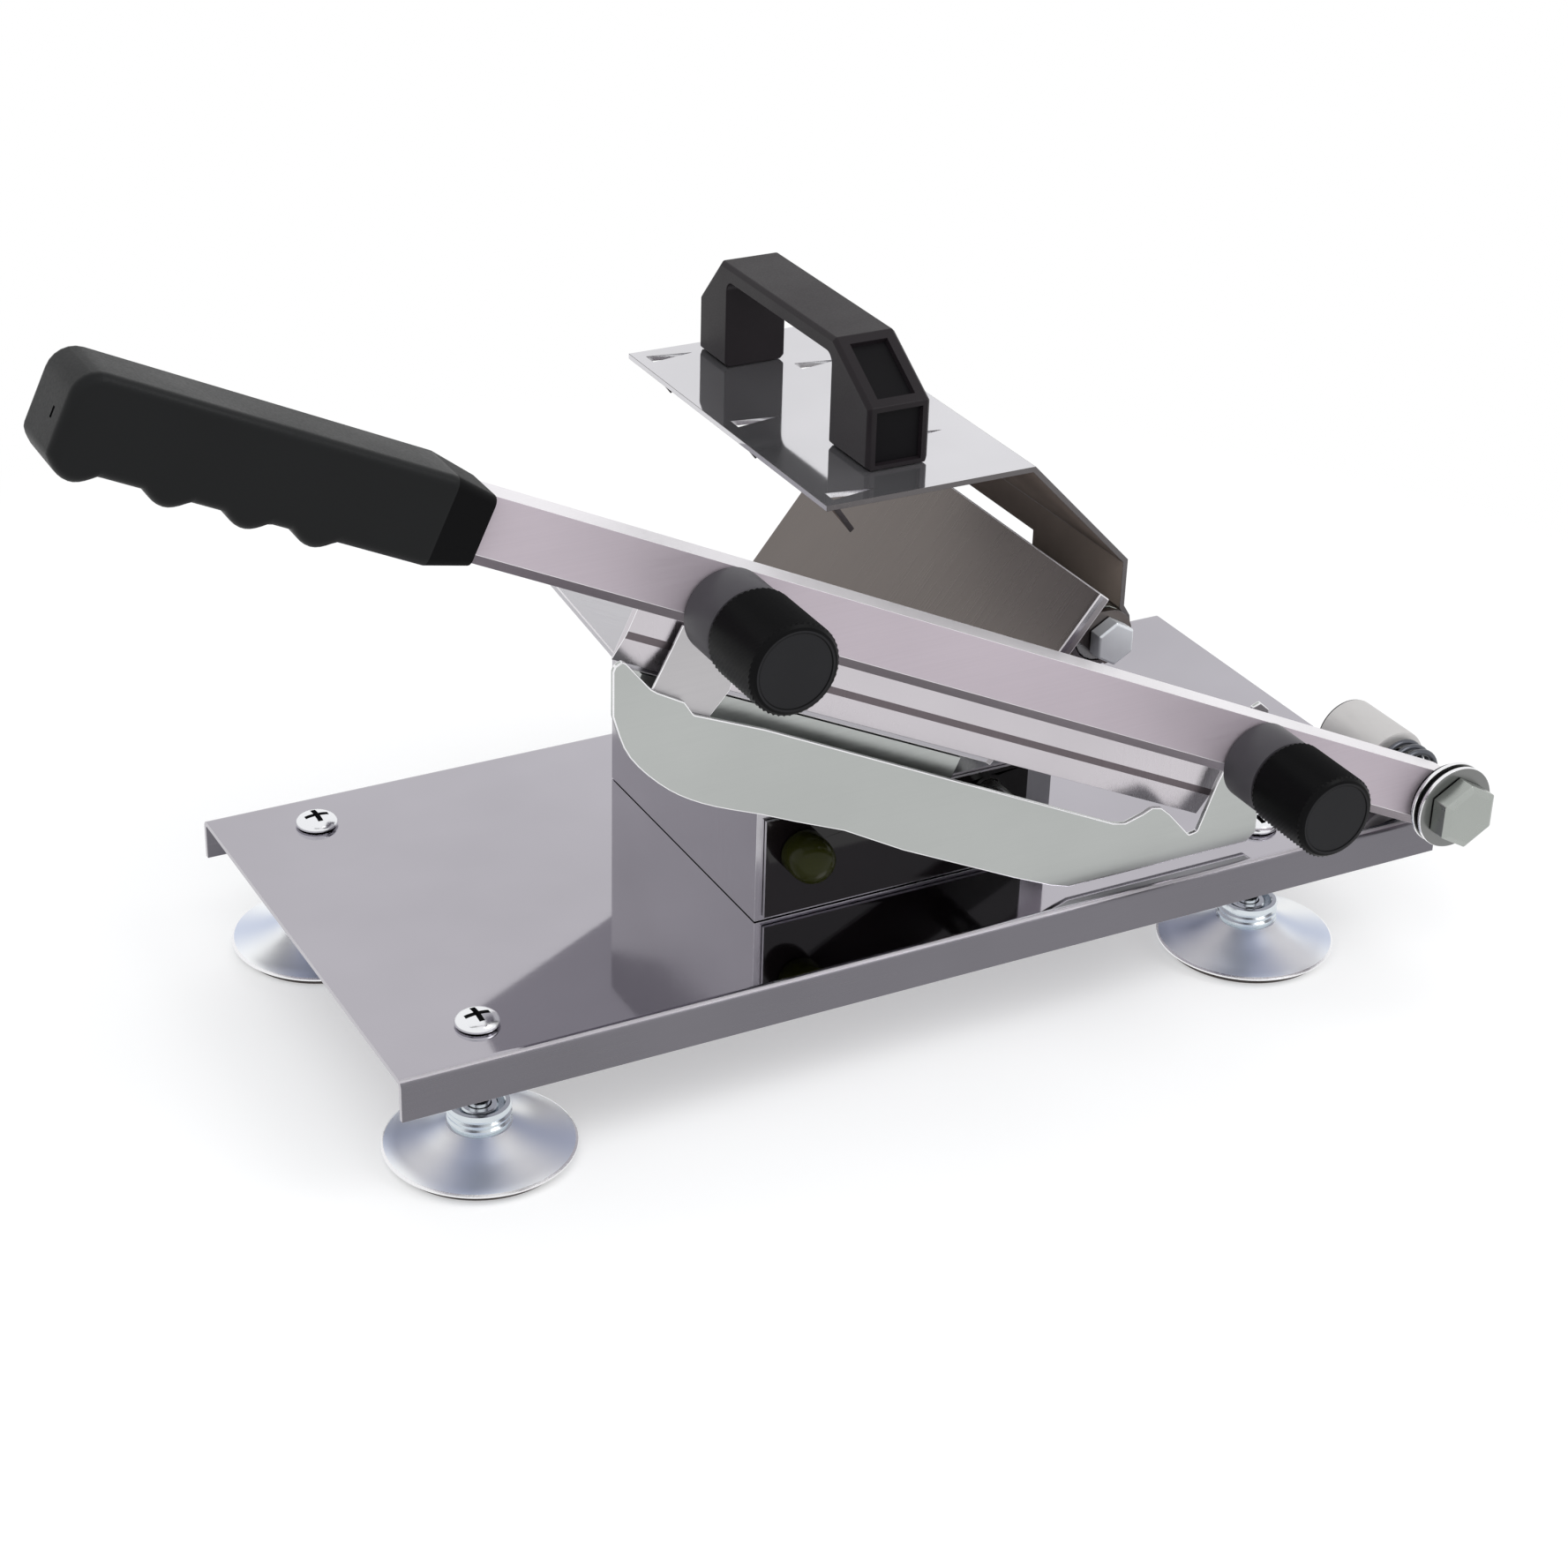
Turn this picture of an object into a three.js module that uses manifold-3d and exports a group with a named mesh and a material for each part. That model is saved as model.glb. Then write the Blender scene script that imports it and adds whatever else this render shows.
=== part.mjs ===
// Frozen meat slicer: a lever arm swings its blade down past a sloping meat tray.
// Millimetres, X to the right, Y to the back, Z up.
// Places are measured from the middle of the base plate's top face, and the finished
// group is moved so that it stands on its pads around its own origin.
import * as THREE from "three";
import { mergeVertices } from "three/addons/utils/BufferGeometryUtils.js";
import Module from "manifold-3d";

const wasm = await Module();
wasm.setup();

// Clearances and fineness
const play = 0.3; // gap left between pieces that touch
const overrun = 20; // how far a cutting shape runs past what it cuts
const fineSides = 32;
const barSteps = 4; // steps in each curve of a bar's profile
const plateSteps = 3;
const plainSides = 20;
const hexSides = 6;

// Base plate
const baseLength = 320;
const baseWidth = 147;
const baseSheet = 1.5;
const baseFlange = 12; // depth of the folded edges, from the top face
const baseBend = 2.4; // outer radius of the fold

// Feet
const standHeight = 38.5; // top of the base plate above the table
const footLeftX = -132.5;
const footRightX = 108;
const footY = 57;
const footRimRadius = 25.5;
const footRimHeight = 0.9;
const footConeHeight = 6.4;
const footNeckRadius = 8.5;
const footNeckHeight = 5.5;
const footRingDepth = 0.6;
const footRingCount = 3;
const footRecessRadius = 6.6;
const footRecessDepth = 3;
const footBossRadius = 5;
const padRadius = 24.6;
const padThickness = 2;
const footScrewRadius = 3;
const footScrewHeadRadius = 6;
const footScrewHeadHeight = 3.8;
const footDomeShare = 0.72; // of the head's radius
const footShoulderShare = 0.55; // of the head's height
const footScrewDepth = 31;
const crossSlotLength = 6.4;
const crossSlotWidth = 1.3;
const crossSlotDepth = 1.6;
const footNutFlats = 10;
const footNutHeight = 5;

// Pedestal and its front panel
const pedestalLeft = -46;
const pedestalRight = 46;
const pedestalFront = -43;
const pedestalBack = 46.5;
const pedestalSheet = 1.5;
const labelLeft = -43.7;
const labelRight = 37.5;
const labelFoot = 1.5;
const labelTop = 31;
const labelThickness = 1;

// Thickness adjuster
const adjusterX = -33;
const adjusterZ = 20;
const adjusterRadius = 4;
const adjusterLength = 52; // behind the pedestal's front face
const thrustRadius = 6.5;
const thrustThickness = 2;
const dialRadius = 6.5;
const dialLength = 11;
const dialDome = 2.6;
const dialCrownShares = [0.6, 0.2]; // of the dial's radius and of its dome
const dialEdgeShare = 0.92; // of the dial's radius
const dialBoreDepth = 8;
const carriageSetback = 21; // behind the pedestal's front face
const carriageThickness = 4;
const carriageLeft = -41;
const carriageRight = 33;
const carriageFoot = 13;
const carriageTop = 55;
const carriageShelf = 30; // height of its low right end
const carriageStepX = -20;
const guideRadius = 4;
const upperGuideX = -28;
const upperGuideZ = 48;
const lowerGuideX = 25;
const lowerGuideZ = 24;
const guideTail = 4; // how far the rods stand out behind the carriage

// Pivot of the arm
const pivotX = 151.5;
const pivotZ = 12.4;
const pivotBoltRadius = 5;
const pivotHexFlats = 17;
const pivotHexHeight = 6.7;
const pivotHexChamfer = 0.8;
const pivotHexSlope = 2; // the chamfer's depth for each millimetre across
const pivotTubeRadius = 10.4;
const pivotTubeLength = 23.5;
const washerRadius = 12.3;
const washerThickness = 2.7;
const tubeRecessRadius = 8.8; // bore at the tube's back end, which hides the nut
const tubeRecessDepth = 8.5;
const backWasherRadius = 8.4;
const backWasherThickness = 1.2;
const pivotNutFlats = 14;
const pivotNutHeight = 5;
const pivotBoltTail = 1;
const saddleWidth = 21.5;
const saddleOffset = 2.75; // the saddle lies left of the tube, to stay on the base plate
const saddleHeight = 6.6;
const saddleLength = 18;
const saddleSetback = 2;

// Spring between the arm and the pivot tube
const springWire = 1.8;
const springRadius = 8.2; // to the middle of the wire
const springTurns = 3;
const springSteps = 8;
const springSides = 5;

// Arm bar
const armPitch = THREE.MathUtils.degToRad(25.4); // rise of the arm at rest
const armFace = 14.4; // height of the flat front face
const armChamfer = 3;
const armThickness = 9.6;
const armLength = 323; // from the pivot to the grip
const armEndRadius = 8.7;
const tangLength = 80;
const tangHeight = 10;
const tangThickness = 6;

// Handle grip
const gripWidth = 20.5;
const gripCollarLength = 11.5;
const gripCollarHalf = 8.6;
const gripLength = 104.4;
const gripCorner = 5; // cut off the upper corner of the end
const gripTop = 10;
const gripBelly = 12;
const fingerSwell = 1.1; // how far a finger bump stands out from the belly line
const fingerPitch = 19.5;
const fingerLast = 10.5; // from the far end to the last bump
const gripBevel = 5;
const gripSteps = 32;
const pinRadius = 2;
const pinPlace = 24; // from the arm's end

// Blade
const bladeFront = -62;
const bladeThickness = 2;
const bladeLength = 200;
const bladeHeight = 31.8;
const bladeStart = 60.6; // from the pivot to the near end
const bladeDrop = 29.8; // from the arm's centre line down to the edge
const bladeBevel = 7.5;
const bladeEdge = 0.3;
const bladeCorner = 3;

// Blade knobs and what they clamp
const knobNearInset = 12; // from the blade's near end
const knobFarInset = 8; // from the blade's far end
const knobDrop = 3.7;
const knobRadius = 11.9;
const knobLength = 22.7;
const knobChamfer = 1.2;
const sleeveRadius = 11.2;
const sleeveLength = 13;
const spacerLength = 12.4;
const spacerRadius = 3.5;
const bladeBoltRadius = 2.5;
const bladeBoltHead = 4.5;
const bladeBoltReach = 18; // into the knob

// Front plate, outlined in shares of its length and height
const plateSheet = 1.5;
const sliceGap = 2.5; // from the front plate to the blade
const plateLength = 199.9;
const plateHeight = 97.1;
const plateToPivot = 50.5; // from the plate's right edge to the pivot
const plateFoot = 2;
const plateRightShares = [
  [0.985, 0], [1, 0.026], [1, 0.425], [0.985, 0.453], [0.972, 0.443],
];
const nearNotchShares = [
  [0.956, 0.34], [0.937, 0.272], [0.925, 0.223], [0.898, 0.078], [0.885, 0.073],
  [0.849, 0.158], [0.834, 0.185], [0.819, 0.193], [0.803, 0.179], [0.776, 0.164],
  [0.755, 0.174],
];
const plateTopShares = [
  [0.627, 0.304], [0.212, 0.719], [0.111, 0.807], [0.098, 0.849], [0.061, 0.892],
];
const farNotchShares = [[0.052, 0.906], [0.018, 0.993], [0.013, 1], [0.003, 0.99], [0, 0.976]];
const plateRoundShares = [[0, 0.851], [0.021, 0.73], [0.07, 0.616], [0.128, 0.537], [0.208, 0.468]];
const plateLowShares = [
  [0.259, 0.421], [0.332, 0.358], [0.423, 0.252], [0.511, 0.164], [0.6, 0.075],
  [0.66, 0.02], [0.69, 0],
];

// Blade guide behind the front plate, in shares of the same length and height
const bladeGuideSheet = 0.8;
const bladeGuideShares = [
  [0.05, 0.84], [0.0575, 0.895], [0.0985, 1.0567], [0.186, 0.973], [0.165, 0.845],
  [0.12, 0.74], [0.085, 0.79],
];

// Meat tray
const traySheet = 1.8;
const trayLipX = -94.4;
const trayLipZ = 96.5;
const trayPitch = armPitch;
const trayFloorLength = 119;
const trayWallLength = 52.8;
const trayWallLean = THREE.MathUtils.degToRad(39);
const trayDepth = 134.5;
const trayLipSkew = THREE.MathUtils.degToRad(6.5); // the lip runs to the right towards the back
const shearGap = 0.5; // from the blade to the tray
const shearStart = 8; // from the lip along the floor
const shearEnd = 7; // from the floor's corner
const shearHeight = 8;
const shearSheet = 2;
const shearLeg = 10;

// Press rod, its brackets and bolts
const rodAside = 43.4; // from the floor's corner
const rodAbove = 21.54;
const rodRadius = 5;
const rodFront = -46.9;
const rodLength = 118.9;
const earThickness = 2;
const earRadius = 8;
const earStart = 8; // along the tray wall, from the floor corner
const earEnd = 40;
const earFlange = 12;
const rodBoltRadius = 3;
const rodBoltFlats = 11;
const rodBoltHead = 4.5;
const rodBoltReach = 12;

// Press, with X and Z measured from the rod's centre line
const bushRadius = 8;
const bushLength = 45;
const pressSheet = 1.5;
const pressFront = -46;
const pressDepth = 116;
const pressTop = 53;
const pressLeft = -86.5;
const pressBendX = -24.5;
const pressWallX = 7.1; // outer face of the wall
const pressKneeZ = 20.5;
const pressWallFoot = 11; // foot of the wall behind the bush
const hemTurn = THREE.MathUtils.degToRad(204); // how far the hem curls round the bush
const hemSteps = 9;
const toothLength = 13;
const toothWidth = 4.6;
const toothBend = THREE.MathUtils.degToRad(53);
const toothLeftX = -83;
const toothRightX = -47.5;
const toothLeftShares = [0.045, 0.5, 0.945]; // of the depth of the press
const toothRightShares = [0.275, 0.76];

// Press handle, profiled in Y and Z
const handleLeft = -67;
const handleWidth = 18.5;
const handleFront = -31.6;
const handleDepth = 96.9;
const handleHeight = 30;
const handleFrontSlope = 20.1;
const handleFrontRise = 12.5;
const handleBackSlope = 12.3;
const handleBackRise = 14;
const handleFrontLeg = 20.6;
const handleBackLeg = 16.3;
const handleBridge = 4.5;
const handleBevel = 1;
const openingCorner = 3;
const handleScrewRadius = 2;
const handleScrewHead = 4.2;
const handleScrewHeadHeight = 2;
const handleScrewReach = 12;

// Finishes: colour, roughness, metalness
const finishes = {
  sheetSteel: [0xb2b0b6, 0.38, 0.85],
  brushedSteel: [0xb0b4b1, 0.35, 0.9],
  armSteel: [0xb6aeb6, 0.4, 0.8],
  bladeSteel: [0xc8c3c8, 0.25, 0.95],
  polishedSteel: [0xc4c6c8, 0.12, 1],
  zinc: [0xbec3d2, 0.3, 0.9],
  boltSteel: [0x969b96, 0.35, 0.9],
  springSteel: [0x4a4d52, 0.4, 0.9],
  blackPlastic: [0x26282a, 0.45, 0],
  knobPlastic: [0x1c1c1e, 0.6, 0],
  sleevePlastic: [0x3c3a3e, 0.5, 0],
  panelBlack: [0x231e20, 0.15, 0],
  padRubber: [0x3a3a3c, 0.8, 0],
};

// A closed geometry as a solid, without the flat triangles that a pole leaves.
function solid(geometry) {
  const bare = geometry.index ? geometry.toNonIndexed() : geometry.clone();
  bare.deleteAttribute("normal");
  bare.deleteAttribute("uv");
  const merged = mergeVertices(bare);
  const kept = [];
  for (let i = 0; i < merged.index.count; i += 3) {
    const [a, b, c] = merged.index.array.subarray(i, i + 3);
    if (a !== b && b !== c && c !== a) kept.push(a, b, c);
  }
  return new wasm.Manifold(
    new wasm.Mesh({
      numProp: 3,
      vertProperties: merged.attributes.position.array,
      triVerts: new Uint32Array(kept),
    }),
  );
}

// A solid as a geometry.
function geometryOf(manifold) {
  const mesh = manifold.getMesh();
  const geometry = new THREE.BufferGeometry()
    .setAttribute("position", new THREE.BufferAttribute(mesh.vertProperties, 3))
    .setIndex(new THREE.BufferAttribute(mesh.triVerts, 1));
  return geometry;
}

function cut(body, ...tools) {
  return geometryOf(tools.reduce((left, tool) => left.subtract(solid(tool)), solid(body)));
}

function join(body, ...others) {
  return geometryOf(others.reduce((sum, other) => sum.add(solid(other)), solid(body)));
}

function common(body, other) {
  return geometryOf(solid(body).intersect(solid(other)));
}

// Points given as [x, y] pairs.
function points(pairs) {
  return pairs.map(([x, y]) => new THREE.Vector2(x, y));
}

// A flat outline in X and Z, given its thickness along Y from a front plane.
function slab(shape, front, thickness, curveSegments = 6) {
  return new THREE.ExtrudeGeometry(shape, { depth: thickness, bevelEnabled: false, curveSegments })
    .rotateX(Math.PI / 2)
    .translate(0, front + thickness, 0);
}

// A profile in Y and Z, given its length along X from a left plane.
function bar(shape, left, length, bevel = 0) {
  const turn = new THREE.Matrix4().makeBasis(
    new THREE.Vector3(0, 1, 0),
    new THREE.Vector3(0, 0, 1),
    new THREE.Vector3(1, 0, 0),
  );
  return new THREE.ExtrudeGeometry(shape, {
    depth: length - 2 * bevel,
    bevelEnabled: bevel > 0,
    bevelThickness: bevel,
    bevelSize: bevel,
    bevelOffset: -bevel,
    bevelSegments: 1,
    curveSegments: barSteps,
  })
    .applyMatrix4(turn)
    .translate(left + bevel, 0, 0);
}

function block(left, front, foot, right, back, top) {
  return new THREE.BoxGeometry(right - left, back - front, top - foot).translate(
    (left + right) / 2,
    (front + back) / 2,
    (foot + top) / 2,
  );
}

// A turned piece along Y: radius and Y pairs that start and end on the axis,
// or a closed ring of them.
function turned(pairs, sides = plainSides) {
  return new THREE.LatheGeometry(points(pairs), sides);
}

function turnedUp(pairs, sides = plainSides) {
  return turned(pairs, sides).rotateX(Math.PI / 2);
}

function rod(radius, front, back, sides = plainSides) {
  return turned([[0, front], [radius, front], [radius, back], [0, back]], sides);
}

function tube(radius, bore, front, back, sides = plainSides) {
  const ring = [[bore, front], [radius, front], [radius, back], [bore, back], [bore, front]];
  return turned(ring, sides);
}

// Radius of the corners of a hexagon, from its width across flats.
function hexCorner(flats) {
  return flats / 2 / Math.cos(Math.PI / hexSides);
}

function hexNut(flats, bore, front, back) {
  return cut(
    rod(hexCorner(flats), front, back, hexSides),
    rod(bore, front - overrun, back + overrun),
  );
}

// A sheet that follows a path in X and Z, with its thickness to the path's right.
function bentSheet(path, sheet) {
  const sides = path.slice(1).map((end, i) => {
    const start = path[i];
    return new THREE.Vector2(end.y - start.y, start.x - end.x).normalize();
  });
  const inner = path.map((point, i) => {
    const before = sides[Math.max(i - 1, 0)];
    const after = sides[Math.min(i, sides.length - 1)];
    const miter = before.clone().add(after).normalize();
    return point.clone().addScaledVector(miter, sheet / miter.dot(before));
  });
  return new THREE.Shape([...path, ...inner.reverse()]);
}

function piece(parent, name, geometry, finish, place = [0, 0, 0]) {
  const [color, roughness, metalness] = finishes[finish];
  const material = new THREE.MeshStandardMaterial({ color, roughness, metalness });
  geometry.computeVertexNormals();
  const mesh = new THREE.Mesh(geometry, material);
  mesh.name = name;
  mesh.position.set(...place);
  parent.add(mesh);
  return mesh;
}

const slicer = new THREE.Group();
const part = new THREE.Group();
part.add(slicer);

// Planes across the depth, each worked out from the blade's
const bladeBack = bladeFront + bladeThickness;
const trayFront = bladeBack + shearGap;
const armBack = bladeFront - spacerLength;
const armFront = armBack - armThickness;
const plateBack = bladeFront - sliceGap;
const plateFront = plateBack - plateSheet;

// Corners of the tray, and the underside that the pedestal reaches up to
const cornerX = trayLipX + trayFloorLength * Math.cos(trayPitch);
const cornerZ = trayLipZ - trayFloorLength * Math.sin(trayPitch);
const wallAlong = new THREE.Vector2(Math.sin(trayWallLean), Math.cos(trayWallLean));
const wallOut = new THREE.Vector2(wallAlong.y, -wallAlong.x);
const trayCorner = new THREE.Vector2(cornerX, cornerZ);
const rodX = cornerX + rodAside;
const rodZ = cornerZ + rodAbove;

function underTray(x, depth) {
  return trayLipZ - (x - trayLipX) * Math.tan(trayPitch) - depth / Math.cos(trayPitch);
}

function footPlaces() {
  return [
    ["front_left", footLeftX, -footY],
    ["front_right", footRightX, -footY],
    ["rear_left", footLeftX, footY],
    ["rear_right", footRightX, footY],
  ];
}

function basePlate() {
  const half = baseWidth / 2;
  const inner = baseBend - baseSheet;
  const shape = new THREE.Shape();
  shape.moveTo(-half, -baseFlange);
  shape.lineTo(-half + baseSheet, -baseFlange);
  shape.lineTo(-half + baseSheet, -baseBend);
  shape.absarc(-half + baseBend, -baseBend, inner, Math.PI, Math.PI / 2, true);
  shape.absarc(half - baseBend, -baseBend, inner, Math.PI / 2, 0, true);
  shape.lineTo(half - baseSheet, -baseFlange);
  shape.lineTo(half, -baseFlange);
  shape.absarc(half - baseBend, -baseBend, baseBend, 0, Math.PI / 2, false);
  shape.absarc(-half + baseBend, -baseBend, baseBend, Math.PI / 2, Math.PI, false);
  const holes = footPlaces().map(([, x, y]) => {
    const radius = footScrewRadius + play;
    const pairs = [[0, -overrun], [radius, -overrun], [radius, overrun], [0, overrun]];
    return turnedUp(pairs).translate(x, y, 0);
  });
  return cut(bar(shape, -baseLength / 2, baseLength), ...holes);
}

function footScrew() {
  const dome = footScrewHeadRadius * footDomeShare;
  const shoulder = footScrewHeadHeight * footShoulderShare;
  const body = turnedUp([
    [0, -footScrewDepth],
    [footScrewRadius, -footScrewDepth],
    [footScrewRadius, play],
    [footScrewHeadRadius, play],
    [footScrewHeadRadius, shoulder],
    [dome, footScrewHeadHeight],
    [0, footScrewHeadHeight],
  ]);
  const half = crossSlotLength / 2;
  const thin = crossSlotWidth / 2;
  const floor = footScrewHeadHeight - crossSlotDepth;
  return cut(
    body,
    block(-half, -thin, floor, half, thin, overrun),
    block(-thin, -half, floor, thin, half, overrun),
  );
}

function foot() {
  const rim = padThickness + play;
  const cone = rim + footRimHeight;
  const neck = cone + footConeHeight;
  const top = neck + footNeckHeight;
  const ringPitch = (footNeckHeight - footRingDepth) / footRingCount;
  const rings = Array.from({ length: footRingCount }, (_, i) => [
    [footNeckRadius - footRingDepth, neck + i * ringPitch],
    [footNeckRadius, neck + (i + 0.5) * ringPitch],
    [footNeckRadius - footRingDepth, neck + (i + 1) * ringPitch],
  ]).flat();
  const bore = footScrewRadius + play;
  const recess = top - footRecessDepth;
  return turnedUp(
    [
      [bore, rim],
      [footRimRadius, rim],
      [footRimRadius, cone],
      ...rings,
      [footNeckRadius, top],
      [footRecessRadius, top],
      [footRecessRadius, recess],
      [footBossRadius, recess],
      [footBossRadius, top - footRingDepth],
      [bore, top - footRingDepth],
      [bore, rim],
    ],
    fineSides,
  );
}

function feet() {
  const nutTop = -baseSheet - play;
  const bore = footScrewRadius + play;
  const nut = () => hexNut(footNutFlats, bore, nutTop - footNutHeight, nutTop).rotateX(Math.PI / 2);
  for (const [name, x, y] of footPlaces()) {
    piece(slicer, `foot_screw_${name}`, footScrew(), "polishedSteel", [x, y, 0]);
    piece(slicer, `foot_nut_${name}`, nut(), "boltSteel", [x, y, 0]);
    piece(slicer, `foot_${name}`, foot(), "zinc", [x, y, -standHeight]);
    const pad = turnedUp([[0, 0], [padRadius, 0], [padRadius, padThickness], [0, padThickness]]);
    piece(slicer, `foot_pad_${name}`, pad, "padRubber", [x, y, -standHeight]);
  }
}

function pedestalOutline(inset) {
  const left = pedestalLeft + inset;
  const right = pedestalRight - inset;
  const depth = traySheet + play + inset;
  const foot = inset > 0 ? -overrun : play;
  return new THREE.Shape(
    points([[left, foot], [right, foot], [right, underTray(right, depth)], [left, underTray(left, depth)]]),
  );
}

function adjusterHole(radius) {
  return rod(radius + play, pedestalFront - overrun, pedestalFront + overrun).translate(
    adjusterX,
    0,
    adjusterZ,
  );
}

function guidePlaces() {
  return [["upper", upperGuideX, upperGuideZ], ["lower", lowerGuideX, lowerGuideZ]];
}

function guideHoles() {
  return guidePlaces().map(([, x, z]) =>
    rod(guideRadius + play, pedestalFront - overrun, pedestalFront + overrun).translate(x, 0, z),
  );
}

function pedestal() {
  const depth = pedestalBack - pedestalFront;
  const shell = slab(pedestalOutline(0), pedestalFront, depth);
  const hollow = slab(
    pedestalOutline(pedestalSheet),
    pedestalFront + pedestalSheet,
    depth - 2 * pedestalSheet,
  );
  return cut(shell, hollow, adjusterHole(adjusterRadius), ...guideHoles());
}

function labelPanel() {
  const back = pedestalFront - play;
  const panel = block(labelLeft, back - labelThickness, labelFoot, labelRight, back, labelTop);
  return cut(panel, adjusterHole(adjusterRadius), ...guideHoles());
}

function adjustingScrew() {
  const wallBack = pedestalFront + pedestalSheet + play;
  const tip = pedestalFront - labelThickness - 2 * play - dialBoreDepth + play;
  return turned([
    [0, tip],
    [adjusterRadius, tip],
    [adjusterRadius, wallBack],
    [thrustRadius, wallBack],
    [thrustRadius, wallBack + thrustThickness],
    [adjusterRadius, wallBack + thrustThickness],
    [adjusterRadius, pedestalFront + adjusterLength],
    [0, pedestalFront + adjusterLength],
  ]);
}

function thicknessKnob() {
  const back = pedestalFront - labelThickness - 2 * play;
  const front = back - dialLength;
  const [crownAcross, crownBack] = dialCrownShares;
  const body = turned(
    [
      [0, front],
      [dialRadius * crownAcross, front + dialDome * crownBack],
      [dialRadius * dialEdgeShare, front + dialDome],
      [dialRadius, front + dialDome + dialDome],
      [dialRadius, back],
      [0, back],
    ],
    fineSides,
  );
  return cut(body, rod(adjusterRadius + play, back - dialBoreDepth, back + overrun));
}

function carriage() {
  const front = pedestalFront + carriageSetback;
  const shape = new THREE.Shape(
    points([
      [carriageLeft, carriageFoot],
      [carriageRight, carriageFoot],
      [carriageRight, carriageShelf],
      [carriageStepX, carriageTop],
      [carriageLeft, carriageTop],
    ]),
  );
  const through = (radius, x, z) =>
    rod(radius + play, front - overrun, front + overrun).translate(x, 0, z);
  return cut(
    slab(shape, front, carriageThickness),
    through(adjusterRadius, adjusterX, adjusterZ),
    ...guidePlaces().map(([, x, z]) => through(guideRadius, x, z)),
  );
}

function adjuster() {
  const axis = [adjusterX, 0, adjusterZ];
  piece(slicer, "thickness_knob", thicknessKnob(), "knobPlastic", axis);
  piece(slicer, "adjusting_screw", adjustingScrew(), "boltSteel", axis);
  piece(slicer, "carriage", carriage(), "sheetSteel");
  const back = pedestalFront + carriageSetback + carriageThickness + guideTail;
  for (const [name, x, z] of guidePlaces())
    piece(slicer, `guide_rod_${name}`, rod(guideRadius, plateBack + play, back), "boltSteel", [x, 0, z]);
}

// A point of the front plate from its shares of the plate's length and height.
function onPlate([along, up]) {
  const left = pivotX - plateToPivot - plateLength;
  return new THREE.Vector2(left + along * plateLength, plateFoot + up * plateHeight);
}

function frontPlate() {
  const shape = new THREE.Shape();
  const outline = [...plateRightShares, ...nearNotchShares, ...plateTopShares, ...farNotchShares];
  const [first, ...rest] = outline.map(onPlate);
  shape.moveTo(first.x, first.y);
  for (const point of rest) shape.lineTo(point.x, point.y);
  const [roundStart, ...round] = plateRoundShares.map(onPlate);
  shape.lineTo(roundStart.x, roundStart.y);
  shape.splineThru(round);
  for (const point of plateLowShares.map(onPlate)) shape.lineTo(point.x, point.y);
  return slab(shape, plateFront, plateSheet, plateSteps);
}

function bladeGuide() {
  const shape = new THREE.Shape(bladeGuideShares.map(onPlate));
  return slab(shape, plateBack + play, bladeGuideSheet);
}

function meatTray() {
  const wallTop = trayCorner.clone().addScaledVector(wallAlong, trayWallLength);
  const path = [new THREE.Vector2(trayLipX, trayLipZ), trayCorner, wallTop];
  const beyond = block(-trayDepth, -trayDepth, 0, 0, trayDepth + trayDepth, trayLipZ + overrun);
  beyond.rotateZ(-trayLipSkew).translate(trayLipX + play, trayFront, 0);
  return cut(slab(bentSheet(path, traySheet), trayFront, trayDepth), beyond);
}

function shearStrip() {
  const top = -traySheet - play;
  const end = trayFloorLength - shearEnd;
  return join(
    block(shearStart, trayFront, top - shearHeight, end, trayFront + shearSheet, top),
    block(shearStart, trayFront, top - shearSheet, end, trayFront + shearLeg, top),
  );
}

function tray() {
  piece(slicer, "meat_tray", meatTray(), "sheetSteel");
  const floor = new THREE.Group();
  floor.position.set(trayLipX, 0, trayLipZ);
  floor.rotation.y = trayPitch;
  slicer.add(floor);
  piece(floor, "shear_strip", shearStrip(), "brushedSteel");
}

function rodBracket(front, inward) {
  const seat = (along, out) =>
    trayCorner.clone().addScaledVector(wallAlong, along).addScaledVector(wallOut, out);
  const near = traySheet + play;
  const low = seat(earStart, near);
  const high = seat(earEnd, near);
  const ear = new THREE.Shape();
  ear.moveTo(low.x, low.y);
  ear.absarc(rodX, rodZ, earRadius, -Math.PI / 2, Math.PI / 2, false);
  ear.lineTo(high.x, high.y);
  const lowOut = seat(earStart, near + earThickness);
  const highOut = seat(earEnd, near + earThickness);
  const flange = new THREE.Shape([low, lowOut, highOut, high]);
  const flangeFront = inward > 0 ? front : front + earThickness - earFlange;
  const hole = rod(rodBoltRadius + play, front - overrun, front + overrun);
  return cut(
    join(slab(ear, front, earThickness), slab(flange, flangeFront, earFlange)),
    hole.translate(rodX, 0, rodZ),
  );
}

function pressRod() {
  const back = rodFront + rodLength;
  const bore = rodBoltRadius + play;
  const depth = rodBoltReach + play;
  return cut(
    rod(rodRadius, rodFront, back),
    rod(bore, rodFront - overrun, rodFront + depth),
    rod(bore, back - depth, back + overrun),
  );
}

// The bolt's head lies towards -Y of its own origin, and its shank towards +Y.
function rodBolt() {
  const shank = 2 * play + earThickness + rodBoltReach;
  return join(
    rod(hexCorner(rodBoltFlats), -rodBoltHead, 0, hexSides),
    rod(rodBoltRadius, -rodBoltHead / 2, shank),
  );
}

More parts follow.
